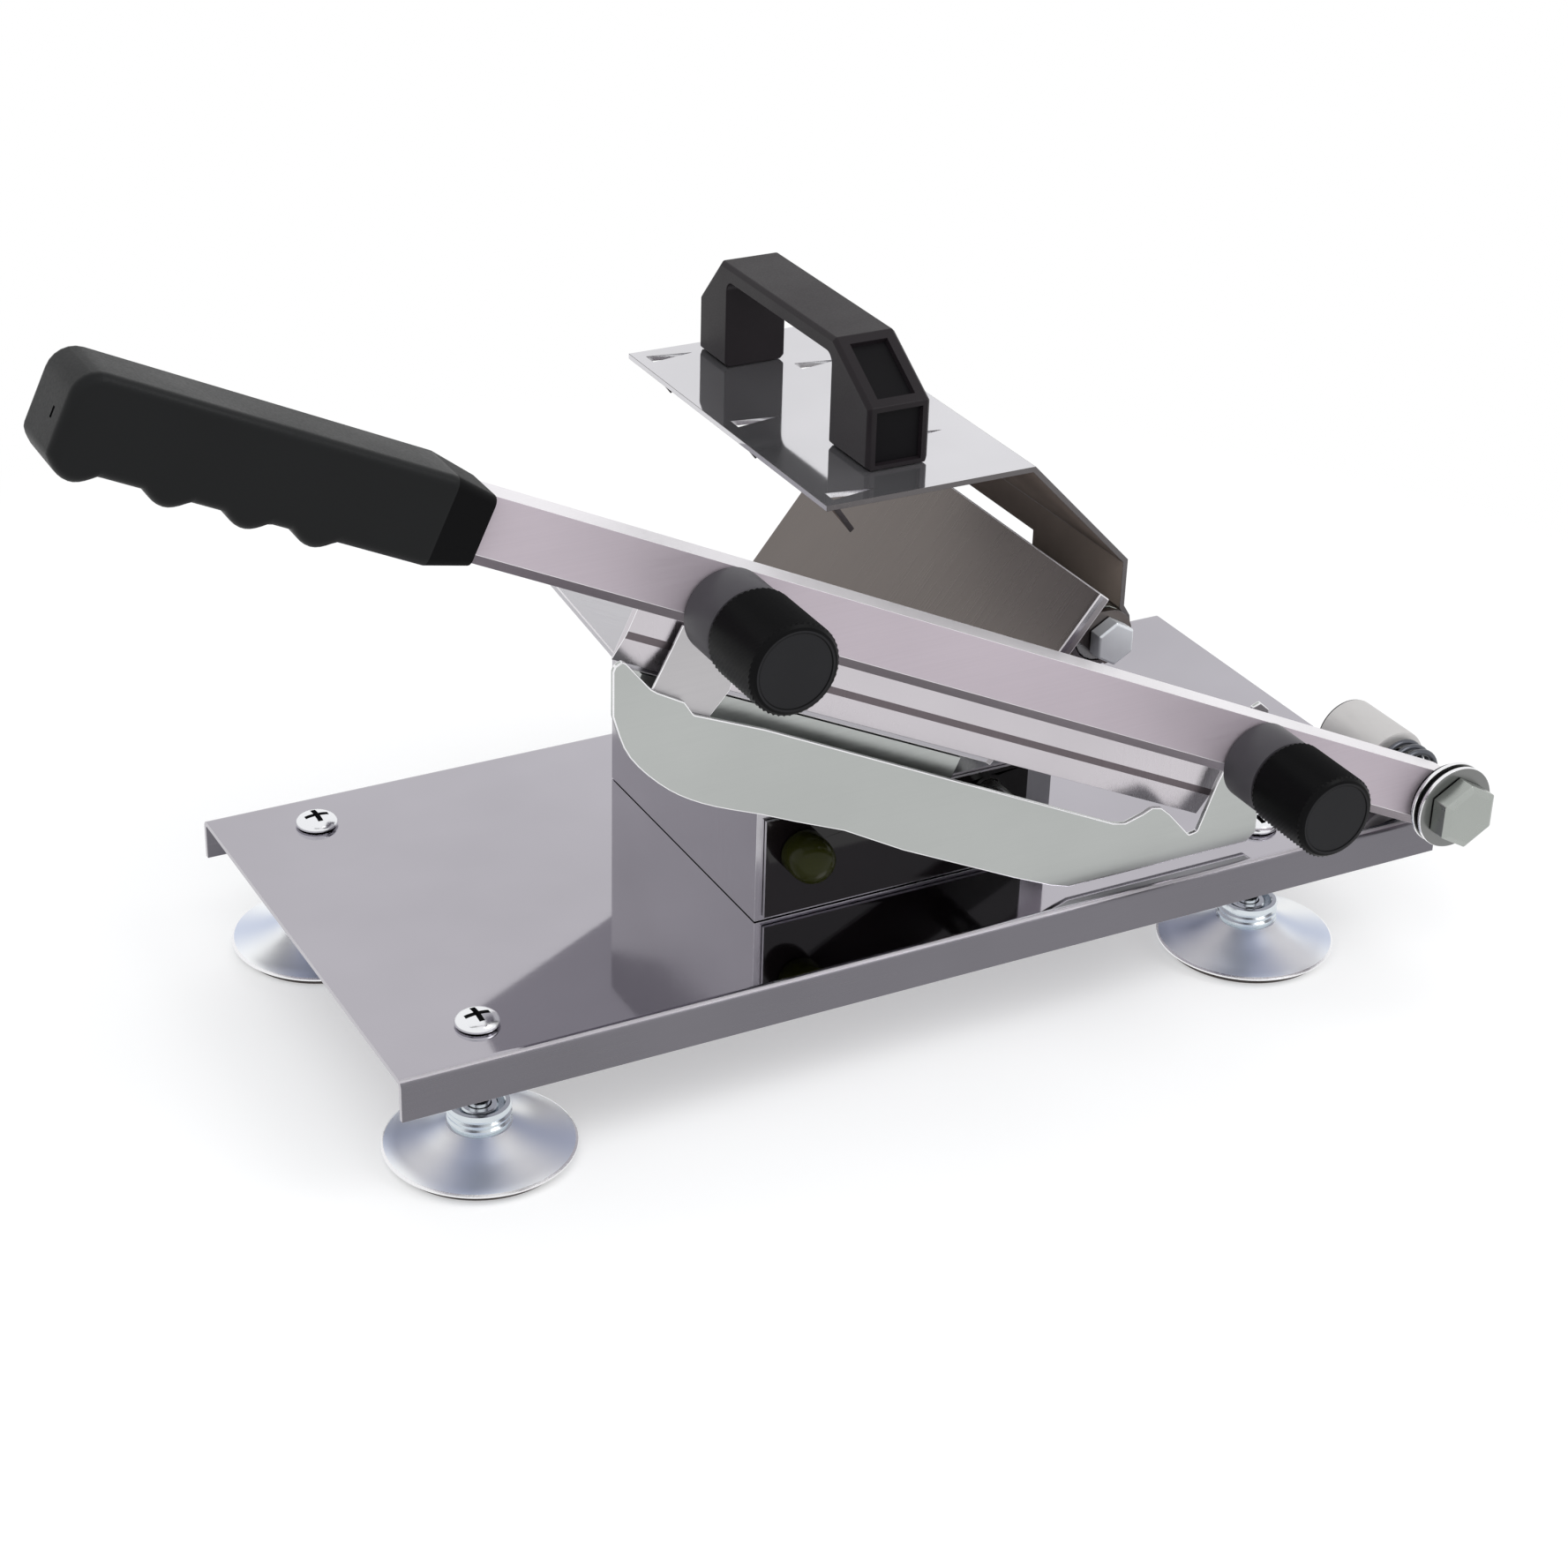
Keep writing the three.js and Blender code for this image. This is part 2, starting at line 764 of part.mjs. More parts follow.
function rodAndBrackets() {
  const axis = [rodX, 0, rodZ];
  const back = rodFront + rodLength;
  const gap = 2 * play + earThickness;
  piece(slicer, "press_rod", pressRod(), "polishedSteel", axis);
  piece(slicer, "rod_bracket_front", rodBracket(rodFront - play - earThickness, 1), "sheetSteel");
  piece(slicer, "rod_bracket_rear", rodBracket(back + play, -1), "sheetSteel");
  piece(slicer, "rod_bolt_front", rodBolt(), "boltSteel", [rodX, rodFront - gap, rodZ]);
  const rear = rodBolt().rotateZ(Math.PI);
  piece(slicer, "rod_bolt_rear", rear, "boltSteel", [rodX, back + gap, rodZ]);
}

// A tooth in its own frame: it starts on X = 0 and points along X, top face at Z = 0.
function toothOutline() {
  const half = toothWidth / 2;
  return new THREE.Shape(points([[0, -half], [toothLength, 0], [0, half]]));
}

function pressPlate() {
  const hemRadius = bushRadius + play + pressSheet;
  const start = Math.acos(pressWallX / hemRadius);
  const hem = Array.from({ length: hemSteps + 1 }, (_, i) => {
    const angle = start - (i / hemSteps) * hemTurn;
    return [hemRadius * Math.cos(angle), hemRadius * Math.sin(angle)];
  });
  const top = [[pressLeft, pressTop], [pressBendX, pressTop], [pressWallX, pressKneeZ]];
  const whole = bentSheet(points([...top, ...hem]), pressSheet);
  const short = bentSheet(points([...top, [pressWallX, pressWallFoot]]), pressSheet);
  let body = join(slab(short, pressFront, pressDepth), slab(whole, pressFront, bushLength));
  const rows = [[toothLeftX, toothLeftShares], [toothRightX, toothRightShares]];
  const places = rows.flatMap(([x, shares]) =>
    shares.map((share) => [x, pressFront + share * pressDepth]),
  );
  for (const [x, y] of places) {
    const hole = new THREE.ExtrudeGeometry(toothOutline(), { depth: overrun, bevelEnabled: false });
    body = cut(body, hole.translate(x, y, pressTop - overrun / 2));
  }
  for (const [x, y] of places) {
    const tooth = new THREE.ExtrudeGeometry(toothOutline(), {
      depth: pressSheet,
      bevelEnabled: false,
    })
      .translate(0, 0, -pressSheet)
      .rotateY(toothBend);
    body = join(body, tooth.translate(x, y, pressTop));
  }
  const holes = handleScrewPlaces().map((y) => {
    const radius = handleScrewRadius + play;
    const pairs = [[0, pressTop - overrun], [radius, pressTop - overrun]];
    pairs.push([radius, pressTop + overrun], [0, pressTop + overrun]);
    return turnedUp(pairs).translate(handleLeft + handleWidth / 2, y, 0);
  });
  return cut(body, ...holes);
}

function handleScrewPlaces() {
  return [handleFront + handleFrontLeg / 2, handleFront + handleDepth - handleBackLeg / 2];
}

function pressHandle() {
  const foot = pressTop + play;
  const top = pressTop + handleHeight;
  const back = handleFront + handleDepth;
  const shape = new THREE.Shape(
    points([
      [handleFront, foot],
      [back, foot],
      [back, top - handleBackRise],
      [back - handleBackSlope, top],
      [handleFront + handleFrontSlope, top],
      [handleFront, top - handleFrontRise],
    ]),
  );
  const left = handleFront + handleFrontLeg;
  const right = back - handleBackLeg;
  const ceiling = top - handleBridge;
  const opening = new THREE.Shape();
  opening.moveTo(left, foot - overrun);
  opening.lineTo(right, foot - overrun);
  opening.absarc(right - openingCorner, ceiling - openingCorner, openingCorner, 0, Math.PI / 2, false);
  opening.absarc(left + openingCorner, ceiling - openingCorner, openingCorner, Math.PI / 2, Math.PI, false);
  const bores = handleScrewPlaces().map((y) => {
    const radius = handleScrewRadius + play;
    const end = foot + handleScrewReach + play;
    return turnedUp([[0, foot - overrun], [radius, foot - overrun], [radius, end], [0, end]]).translate(
      handleLeft + handleWidth / 2,
      y,
      0,
    );
  });
  return cut(
    bar(shape, handleLeft, handleWidth, handleBevel),
    bar(opening, handleLeft - overrun, handleWidth + 2 * overrun),
    ...bores,
  );
}

function handleScrew() {
  const under = pressTop - pressSheet - play;
  const end = pressTop + play + handleScrewReach;
  return turnedUp([
    [0, under - handleScrewHeadHeight],
    [handleScrewHead, under - handleScrewHeadHeight],
    [handleScrewHead, under],
    [handleScrewRadius, under],
    [handleScrewRadius, end],
    [0, end],
  ]);
}

function press() {
  const hinge = new THREE.Group();
  hinge.position.set(rodX, 0, rodZ);
  slicer.add(hinge);
  const bush = tube(bushRadius, rodRadius + play, pressFront, pressFront + bushLength);
  piece(hinge, "press_bush", bush, "boltSteel");
  piece(hinge, "press_plate", pressPlate(), "polishedSteel");
  piece(hinge, "press_handle", pressHandle(), "blackPlastic");
  handleScrewPlaces().forEach((y, i) => {
    const place = [handleLeft + handleWidth / 2, y, 0];
    piece(hinge, `press_handle_screw_${i + 1}`, handleScrew(), "boltSteel", place);
  });
}

// The spring: straight ends along Y, and turns that climb steadily between them.
function springPath() {
  const front = armBack + play;
  const back = bladeFront - play;
  const low = front + springWire;
  const high = back - springWire;
  const path = [new THREE.Vector3(springRadius, front, 0)];
  const steps = springTurns * springSteps;
  for (let i = 0; i <= steps; i += 1) {
    const angle = (i / springSteps) * 2 * Math.PI;
    path.push(
      new THREE.Vector3(
        springRadius * Math.cos(angle),
        low + ((high - low) * i) / steps,
        springRadius * Math.sin(angle),
      ),
    );
  }
  path.push(new THREE.Vector3(springRadius, back, 0));
  return path;
}

// A round wire along a list of points, closed by a flat cap at each end.
function wire(path, radius, sides) {
  const rings = path.map((point, i) => {
    const before = path[Math.max(i - 1, 0)];
    const after = path[Math.min(i + 1, path.length - 1)];
    const end = i === 0 || i === path.length - 1;
    const along = end ? new THREE.Vector3(0, 1, 0) : after.clone().sub(before).normalize();
    const out = new THREE.Vector3(point.x, 0, point.z).normalize();
    const across = new THREE.Vector3().crossVectors(along, out).normalize();
    const flat = new THREE.Vector3().crossVectors(across, along).normalize();
    return Array.from({ length: sides }, (_, k) => {
      const angle = (2 * Math.PI * k) / sides;
      return point
        .clone()
        .addScaledVector(flat, radius * Math.cos(angle))
        .addScaledVector(across, radius * Math.sin(angle));
    });
  });
  const vertices = [...rings.flat(), path[0], path[path.length - 1]];
  const start = vertices.length - 2;
  const finish = vertices.length - 1;
  const faces = [];
  for (let k = 0; k < sides; k += 1) {
    const next = (k + 1) % sides;
    faces.push(start, next, k);
    const last = (rings.length - 1) * sides;
    faces.push(finish, last + k, last + next);
    for (let i = 0; i + 1 < rings.length; i += 1) {
      const a = i * sides + k;
      const b = i * sides + next;
      faces.push(a, b, b + sides, a, b + sides, a + sides);
    }
  }
  const geometry = new THREE.BufferGeometry().setFromPoints(vertices);
  geometry.setIndex(faces);
  return geometry;
}

// Least gap between the wire's surfaces at points half a turn or more apart.
function leastGap(path, radius) {
  let least = Infinity;
  for (let i = 0; i < path.length; i += 1)
    for (let j = i + springSteps / 2; j < path.length; j += 1)
      least = Math.min(least, path[i].distanceTo(path[j]) - 2 * radius);
  return least;
}

function pivotSaddle() {
  const left = pivotX - saddleOffset - saddleWidth / 2;
  const right = left + saddleWidth;
  const front = bladeFront + saddleSetback;
  const body = block(left, front, play, right, front + saddleLength, play + saddleHeight);
  const cradle = rod(pivotTubeRadius + play, front - overrun, front + saddleLength + overrun, fineSides);
  return cut(body, cradle.translate(pivotX, 0, pivotZ));
}

function pivot() {
  const axis = [pivotX, 0, pivotZ];
  const bore = pivotBoltRadius + play;
  const tubeBack = bladeFront + pivotTubeLength;
  const hexBack = armFront - 2 * washerThickness - 3 * play;
  const hexFront = hexBack - pivotHexHeight;
  const washerFront = tubeBack - tubeRecessDepth + play;
  const washerBack = washerFront + backWasherThickness;
  const nutFront = washerBack + play;
  const corner = hexCorner(pivotHexFlats);
  const hexagon = turned(
    [[0, hexFront], [corner, hexFront], [corner, hexBack], [0, hexBack]],
    hexSides,
  );
  const crown = turned(
    [
      [0, hexFront],
      [pivotHexFlats / 2, hexFront],
      [corner + pivotHexChamfer, hexFront + pivotHexChamfer * pivotHexSlope],
      [corner + pivotHexChamfer, hexBack],
      [0, hexBack],
    ],
    fineSides,
  );
  const shank = rod(pivotBoltRadius, hexBack - play, nutFront + pivotNutHeight + pivotBoltTail);
  piece(slicer, "pivot_bolt", join(common(hexagon, crown), shank), "boltSteel", axis);
  for (const i of [0, 1]) {
    const back = armFront - play - i * (washerThickness + play);
    const washer = tube(washerRadius, bore, back - washerThickness, back, fineSides);
    piece(slicer, `pivot_washer_front_${i + 1}`, washer, "zinc", axis);
  }
  const path = springPath();
  const spring = wire(path, springWire / 2, springSides);
  console.log("pivot spring, least gap to itself:", leastGap(path, springWire / 2).toFixed(2), "mm");
  piece(slicer, "pivot_spring", geometryOf(solid(spring)), "springSteel", axis);
  const sleeve = cut(
    tube(pivotTubeRadius, bore, bladeFront, tubeBack, fineSides),
    rod(tubeRecessRadius, tubeBack - tubeRecessDepth, tubeBack + overrun, fineSides),
  );
  piece(slicer, "pivot_tube", sleeve, "zinc", axis);
  piece(slicer, "pivot_saddle", pivotSaddle(), "sheetSteel");
  const washer = tube(backWasherRadius, bore, washerFront, washerBack);
  piece(slicer, "pivot_washer_back", washer, "zinc", axis);
  const nut = hexNut(pivotNutFlats, bore, nutFront, nutFront + pivotNutHeight);
  piece(slicer, "pivot_nut", nut, "boltSteel", axis);
}

// In the arm's frame the pivot is the origin and the arm points along -X.
const arm = new THREE.Group();
arm.position.set(pivotX, 0, pivotZ);
arm.rotation.y = armPitch;
slicer.add(arm);

function armBar() {
  const top = armFace / 2;
  const section = new THREE.Shape(
    points([
      [armFront, top],
      [armFront, -top],
      [armFront + armChamfer, -top - armChamfer],
      [armBack, -top - armChamfer],
      [armBack, top],
    ]),
  );
  const outline = new THREE.Shape();
  const middle = -armChamfer / 2;
  outline.moveTo(-armLength - overrun, -overrun);
  outline.lineTo(0, -overrun);
  outline.absarc(0, middle, armEndRadius, -Math.PI / 2, Math.PI / 2, false);
  outline.lineTo(0, overrun);
  outline.lineTo(-armLength - overrun, overrun);
  const blank = common(
    bar(section, -armLength, armLength + armEndRadius + play),
    slab(outline, armFront - overrun, armThickness + 2 * overrun),
  );
  const centre = (armFront + armBack) / 2;
  const half = tangThickness / 2;
  const tang = block(
    -armLength - tangLength,
    centre - half,
    -tangHeight / 2,
    -armLength + armChamfer,
    centre + half,
    tangHeight / 2,
  );
  const across = (radius, x, z) =>
    rod(radius + play, armFront - overrun, armBack + overrun).translate(x, 0, z);
  return cut(
    join(blank, tang),
    across(pivotBoltRadius, 0, 0),
    across(pinRadius, -armLength - pinPlace, 0),
    ...knobPlaces().map(([, x]) => across(bladeBoltRadius, x, -knobDrop)),
  );
}

function handleGrip() {
  const start = armLength + play;
  const collar = start + gripCollarLength;
  const tip = start + gripLength;
  const shape = new THREE.Shape();
  shape.moveTo(-start, gripCollarHalf);
  shape.lineTo(-collar, gripTop);
  shape.lineTo(-tip + gripCorner, gripTop);
  shape.lineTo(-tip, gripTop - gripCorner);
  for (let i = 0; i <= gripSteps; i += 1) {
    const along = tip - ((tip - collar) * i) / gripSteps;
    const phase = (2 * Math.PI * (along - tip + fingerLast)) / fingerPitch;
    shape.lineTo(-along, -gripBelly - fingerSwell * Math.cos(phase));
  }
  shape.lineTo(-start, -gripCollarHalf);
  const centre = (armFront + armBack) / 2;
  const front = centre - gripWidth / 2;
  const back = centre + gripWidth / 2;
  const foot = -gripBelly - fingerSwell;
  const section = new THREE.Shape(
    points([
      [front + gripBevel, foot],
      [back - gripBevel, foot],
      [back, foot + gripBevel],
      [back, gripTop - gripBevel],
      [back - gripBevel, gripTop],
      [front + gripBevel, gripTop],
      [front, gripTop - gripBevel],
      [front, foot + gripBevel],
    ]),
  );
  const body = common(bar(section, -tip, gripLength), slab(shape, front, gripWidth));
  const half = tangThickness / 2 + play;
  const slot = block(
    -armLength - tangLength - play,
    centre - half,
    -tangHeight / 2 - play,
    -start + overrun,
    centre + half,
    tangHeight / 2 + play,
  );
  const hole = rod(pinRadius + play, centre - gripWidth, centre + gripWidth);
  return cut(body, slot, hole.translate(-armLength - pinPlace, 0, 0));
}

function blade() {
  const foot = -bladeDrop;
  const top = foot + bladeHeight;
  const section = new THREE.Shape(
    points([
      [bladeBack, foot],
      [bladeBack, top],
      [bladeFront, top],
      [bladeFront, foot + bladeBevel],
      [bladeBack - bladeEdge, foot],
    ]),
  );
  const near = -bladeStart;
  const far = -bladeStart - bladeLength;
  const outline = new THREE.Shape(
    points([
      [far, foot],
      [near, foot],
      [near, top - bladeCorner],
      [near - bladeCorner, top],
      [far + bladeCorner, top],
      [far, top - bladeCorner],
    ]),
  );
  const plate = common(bar(section, far, bladeLength), slab(outline, bladeFront, bladeThickness));
  const seats = knobPlaces().map(([, x]) =>
    turned([
      [0, bladeFront - overrun],
      [bladeBoltRadius + play, bladeFront - overrun],
      [bladeBoltRadius + play, bladeFront],
      [bladeBoltHead + play, bladeBack],
      [bladeBoltHead + play, bladeBack + overrun],
      [0, bladeBack + overrun],
    ]).translate(x, 0, -knobDrop),
  );
  return cut(plate, ...seats);
}

function knobPlaces() {
  return [
    ["left", -bladeStart - bladeLength + knobFarInset],
    ["right", -bladeStart - knobNearInset],
  ];
}

function bladeKnob() {
  const back = armFront - 2 * play - sleeveLength;
  const front = back - knobLength;
  const edge = knobRadius - knobChamfer;
  const body = turned(
    [
      [0, front],
      [edge, front],
      [knobRadius, front + knobChamfer],
      [knobRadius, back - knobChamfer],
      [edge, back],
      [0, back],
    ],
    fineSides,
  );
  return cut(body, rod(bladeBoltRadius + play, back - bladeBoltReach - play, back + overrun));
}

function bladeBolt() {
  const tip = armFront - 2 * play - sleeveLength - bladeBoltReach;
  return turned([
    [0, tip],
    [bladeBoltRadius, tip],
    [bladeBoltRadius, bladeFront],
    [bladeBoltHead, bladeBack],
    [0, bladeBack],
  ]);
}

function armPieces() {
  const centre = (armFront + armBack) / 2;
  piece(arm, "arm_bar", armBar(), "armSteel");
  piece(arm, "handle_grip", handleGrip(), "blackPlastic");
  const pin = rod(pinRadius, centre - gripWidth / 2 + play, centre + gripWidth / 2 - play);
  piece(arm, "handle_pin", pin, "boltSteel", [-armLength - pinPlace, 0, 0]);
  piece(arm, "blade", blade(), "bladeSteel");
  const bore = bladeBoltRadius + play;
  for (const [name, x] of knobPlaces()) {
    const place = [x, 0, -knobDrop];
    const sleeve = tube(sleeveRadius, bore, armFront - play - sleeveLength, armFront - play, fineSides);
    piece(arm, `knob_sleeve_${name}`, sleeve, "sleevePlastic", place);
    piece(arm, `blade_knob_${name}`, bladeKnob(), "knobPlastic", place);
    const spacer = tube(spacerRadius, bore, armBack + play, bladeFront - play);
    piece(arm, `blade_spacer_${name}`, spacer, "boltSteel", place);
    piece(arm, `blade_bolt_${name}`, bladeBolt(), "boltSteel", place);
  }
}

piece(slicer, "base_plate", basePlate(), "sheetSteel");
feet();
piece(slicer, "pedestal", pedestal(), "sheetSteel");
piece(slicer, "label_panel", labelPanel(), "panelBlack");
adjuster();
piece(slicer, "front_plate", frontPlate(), "brushedSteel");
piece(slicer, "blade_guide", bladeGuide(), "brushedSteel");
tray();
rodAndBrackets();
press();
pivot();
armPieces();

// The origin is the middle of the underside of the whole slicer's box.
slicer.updateMatrixWorld(true);
const box = new THREE.Box3().setFromObject(slicer, true);
slicer.position.set(-(box.min.x + box.max.x) / 2, -(box.min.y + box.max.y) / 2, -box.min.z);

export default part;
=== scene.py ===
import math

import bmesh
import bpy
from mathutils import Matrix, Vector


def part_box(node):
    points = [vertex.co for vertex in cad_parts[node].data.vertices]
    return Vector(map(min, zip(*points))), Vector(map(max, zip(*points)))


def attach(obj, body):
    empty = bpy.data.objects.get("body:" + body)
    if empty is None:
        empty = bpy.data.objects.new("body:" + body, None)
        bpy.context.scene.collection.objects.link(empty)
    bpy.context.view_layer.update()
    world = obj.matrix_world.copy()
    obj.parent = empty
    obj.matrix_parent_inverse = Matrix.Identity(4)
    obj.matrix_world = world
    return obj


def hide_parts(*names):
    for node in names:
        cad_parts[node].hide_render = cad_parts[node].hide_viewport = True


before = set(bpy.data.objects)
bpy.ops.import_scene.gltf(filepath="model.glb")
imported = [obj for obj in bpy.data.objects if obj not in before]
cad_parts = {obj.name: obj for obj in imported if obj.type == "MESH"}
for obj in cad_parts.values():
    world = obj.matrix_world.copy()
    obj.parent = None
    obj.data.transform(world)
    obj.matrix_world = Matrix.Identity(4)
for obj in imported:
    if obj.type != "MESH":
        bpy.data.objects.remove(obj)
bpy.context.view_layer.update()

MM = 0.001

base_low, base_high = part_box("base_plate")
ORIGIN = Vector(((base_low.x + base_high.x) / 2, (base_low.y + base_high.y) / 2, base_high.z))


def at(x, y, z):
    return ORIGIN + Vector((x, y, z)) * MM


# Sizes and places that the source of the part gives
PLAY = 0.3  # left between pieces that touch
STAND = 38.5  # top of the base plate above the table
FEET = {
    "front_left": (-132.5, -57),
    "front_right": (108, -57),
    "rear_left": (-132.5, 57),
    "rear_right": (108, 57),
}
FOOT_RIM = 25.5
FOOT_NECK = 8.5
PAD_HEIGHT = 2.0
TRAY_LEAN = math.radians(39)
TRAY_CORNER = 13.1  # where the floor meets the wall
PANEL_FRONT = -44.0
DIAL_PLACE = (-33, 20)  # X and Z
DIAL_RADIUS = 6.5
DIAL_LENGTH = 11
ROD_RADIUS = 5.0
ROD_HEX = (11, 4.5)  # across the flats, height
PIVOT = (151.5, 12.4)  # X and Z
PIVOT_HEX = (17, 6.7)
PIVOT_HOLE = 5.3
WASHER_RADIUS = 12.3
WASHER_THICKNESS = 2.7
TUBE_FRONT = -62.0
TUBE_BACK = -38.5
TUBE_RADIUS = 10.4
TUBE_RECESS = (8.8, 8.5)  # radius, depth
ARM_PITCH = math.radians(25.4)
ARM_FRONT = -84.0
ARM_BACK = -74.4
SLEEVE_RADIUS = 11.2
SLEEVE_LENGTH = 13
KNOB_RADIUS = 11.9
KNOB_LENGTH = 22.7
KNOB_DROP = -3.7
KNOBS = {"left": -252.6, "right": -72.6}  # along the arm, from the pivot

# Sizes read from the photograph for the looks alone
HEM = 2.0
PAD_RADIUS = 23.4
PIVOT_CHAMFER = 1.9
ROD_CHAMFER = 0.6
KNURL_DEPTH = 0.4
GRIP_START = 323.3
GRIP_TIP = 426.4
GRIP_HALF = 10.25
GRIP_TOP = 10.0
GRIP_BELLY = -12.0
COLLAR = 11.5
SWELLS = (419.6, 398.0, 379.0, 362.4)  # middles along the arm, from the pivot
SWELL_DEPTH = 2.6
SWELL_WIDTH = 11.0
# The dark band is a painted reflection along the top of the blade's ground bevel.
BLADE_REFLECTION_BAND = (-23.3, -21.3)  # across the arm, from the pivot

# The camera that took the photograph, found from the base plate's corners
PHOTO_WIDTH = 1777
FOCAL_LENGTH = 3677.90787  # in the photograph's pixels, as its width is
CAMERA_ANGLES = (-28.75225, 28.59960, 1.779608)  # azimuth, elevation and roll
CAMERA_DISTANCE = 940.031516
CAMERA_TARGET = (-2.340725, 22.353090, 0)


# Selecting and shaping

def clear_selection():
    bpy.ops.object.select_all(action="DESELECT")


def work_on(piece):
    clear_selection()
    piece.select_set(True)
    bpy.context.view_layer.objects.active = piece


def settle(name):
    """Names the new primitive and puts its place, turn and size into its mesh."""
    piece = bpy.context.object
    piece.name = name
    piece.data.name = name
    bpy.ops.object.transform_apply(location=True, rotation=True, scale=True)
    return piece


def open_mesh(piece):
    work_on(piece)
    bpy.ops.object.mode_set(mode="EDIT")


def close_mesh():
    bpy.ops.object.mode_set(mode="OBJECT")


def pick_faces(piece, test):
    """In edit mode, selects the faces whose middle and normal pass the test."""
    bpy.ops.mesh.select_mode(type="FACE")
    bpy.ops.mesh.select_all(action="DESELECT")
    for face in bmesh.from_edit_mesh(piece.data).faces:
        face.select_set(bool(test(face.calc_center_median(), face.normal)))
    bmesh.update_edit_mesh(piece.data)


def pick_edges(piece, test):
    """In edit mode, selects the edges whose two ends pass the test."""
    bpy.ops.mesh.select_mode(type="EDGE")
    bpy.ops.mesh.select_all(action="DESELECT")
    for edge in bmesh.from_edit_mesh(piece.data).edges:
        edge.select_set(bool(test(edge.verts[0].co, edge.verts[1].co)))
    bmesh.update_edit_mesh(piece.data)


def pick_points(piece, test):
    """In edit mode, selects the vertices whose place passes the test."""
    bpy.ops.mesh.select_mode(type="VERT")
    bpy.ops.mesh.select_all(action="DESELECT")
    for point in bmesh.from_edit_mesh(piece.data).verts:
        point.select_set(bool(test(point.co)))
    bmesh.update_edit_mesh(piece.data)


def face_outward(piece):
    open_mesh(piece)
    bpy.ops.mesh.select_all(action="SELECT")
    bpy.ops.mesh.normals_make_consistent(inside=False)
    close_mesh()


def apply_modifier(piece, kind, **settings):
    work_on(piece)
    modifier = piece.modifiers.new(kind.title(), kind)
    for key, value in settings.items():
        setattr(modifier, key, value)
    bpy.ops.object.modifier_apply(modifier=modifier.name)


def ease_edges(piece, width, segments=2, edge=-1):
    """Rounds the sharp edges a little, and gives the new faces the finish numbered edge."""
    apply_modifier(
        piece,
        "BEVEL",
        width=width * MM,
        segments=segments,
        limit_method="ANGLE",
        angle_limit=math.radians(30),
        use_clamp_overlap=True,
        miter_outer="MITER_ARC",
        material=edge,
    )


def smooth(piece, angle=32):
    work_on(piece)
    bpy.ops.object.shade_smooth_by_angle(angle=math.radians(angle))


def smooth_flats(piece, angle=32):
    """Smooths the rounded edges and keeps the large faces flat to the eye."""
    smooth(piece, angle)
    apply_modifier(piece, "WEIGHTED_NORMAL", mode="FACE_AREA", weight=100, keep_sharp=True)


def cut_away(piece, tool):
    """Cuts one closed mesh out of another, and throws the tool away."""
    apply_modifier(piece, "BOOLEAN", object=tool, operation="DIFFERENCE", solver="EXACT")
    bpy.data.objects.remove(tool)


def copy_of(piece, name, shift):
    """A copy with its own mesh, moved by a shift in millimetres."""
    twin = piece.copy()
    twin.data = piece.data.copy()
    twin.name = name
    twin.data.name = name
    bpy.context.collection.objects.link(twin)
    work_on(twin)
    twin.location = Vector(shift) * MM
    bpy.ops.object.transform_apply(location=True, rotation=True, scale=True)
    return twin


def block(name, low, high):
    low, high = Vector(low) * MM, Vector(high) * MM
    clear_selection()
    bpy.ops.mesh.primitive_cube_add(size=1, location=(low + high) / 2, scale=high - low)
    return settle(name)


AXIS_TURN = {"Y": (math.pi / 2, 0, 0), "Z": (0, 0, 0)}


def turned(name, steps, sides=96, along="Y", ring=False):
    """A turned piece round an axis through the origin, from steps of radius and place.
    With ring, the last step meets the first and the middle stays open."""
    unit = Vector((0, 1, 0)) if along == "Y" else Vector((0, 0, 1))
    radius, place = steps[0]
    clear_selection()
    bpy.ops.mesh.primitive_circle_add(
        vertices=sides,
        radius=radius * MM,
        fill_type="NOTHING" if ring else "NGON",
        location=unit * place * MM,
        rotation=AXIS_TURN[along],
    )
    piece = settle(name)
    open_mesh(piece)
    bpy.ops.mesh.select_mode(type="EDGE")
    bpy.ops.mesh.select_all(action="SELECT")
    extrude = bpy.ops.mesh.extrude_edges_move if ring else bpy.ops.mesh.extrude_region_move
    for next_radius, next_place in steps[1:]:
        extrude(TRANSFORM_OT_translate={"value": unit * (next_place - place) * MM})
        ratio = next_radius / radius
        size = (ratio, 1, ratio) if along == "Y" else (ratio, ratio, 1)
        bpy.ops.transform.resize(value=size, center_override=unit * next_place * MM)
        radius, place = next_radius, next_place
    bpy.ops.mesh.select_all(action="SELECT")
    bpy.ops.mesh.remove_doubles(threshold=1e-6)
    bpy.ops.mesh.normals_make_consistent(inside=False)
    close_mesh()
    return piece


def move_to(piece, place):
    work_on(piece)
    piece.location = place
    bpy.ops.object.transform_apply(location=True, rotation=True, scale=True)
    return piece


def on_arm(piece):
    """Takes a piece from the arm's own frame, with the pivot at its origin, to its place."""
    work_on(piece)
    piece.rotation_euler = (0, ARM_PITCH, 0)
    piece.location = at(PIVOT[0], 0, PIVOT[1])
    bpy.ops.object.transform_apply(location=True, rotation=True, scale=True)
    return piece


def copy_of_node(node, name):
    """A copy of a CAD node's mesh with its loose triangles merged into flat faces."""
    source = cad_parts[node]
    piece = bpy.data.objects.new(name, source.data.copy())
    bpy.context.collection.objects.link(piece)
    work_on(piece)
    bpy.ops.mesh.customdata_custom_splitnormals_clear()
    open_mesh(piece)
    bpy.ops.mesh.select_all(action="SELECT")
    bpy.ops.mesh.remove_doubles(threshold=5e-6)
    bpy.ops.mesh.dissolve_limited(angle_limit=math.radians(0.6))
    close_mesh()
    return piece


# Materials

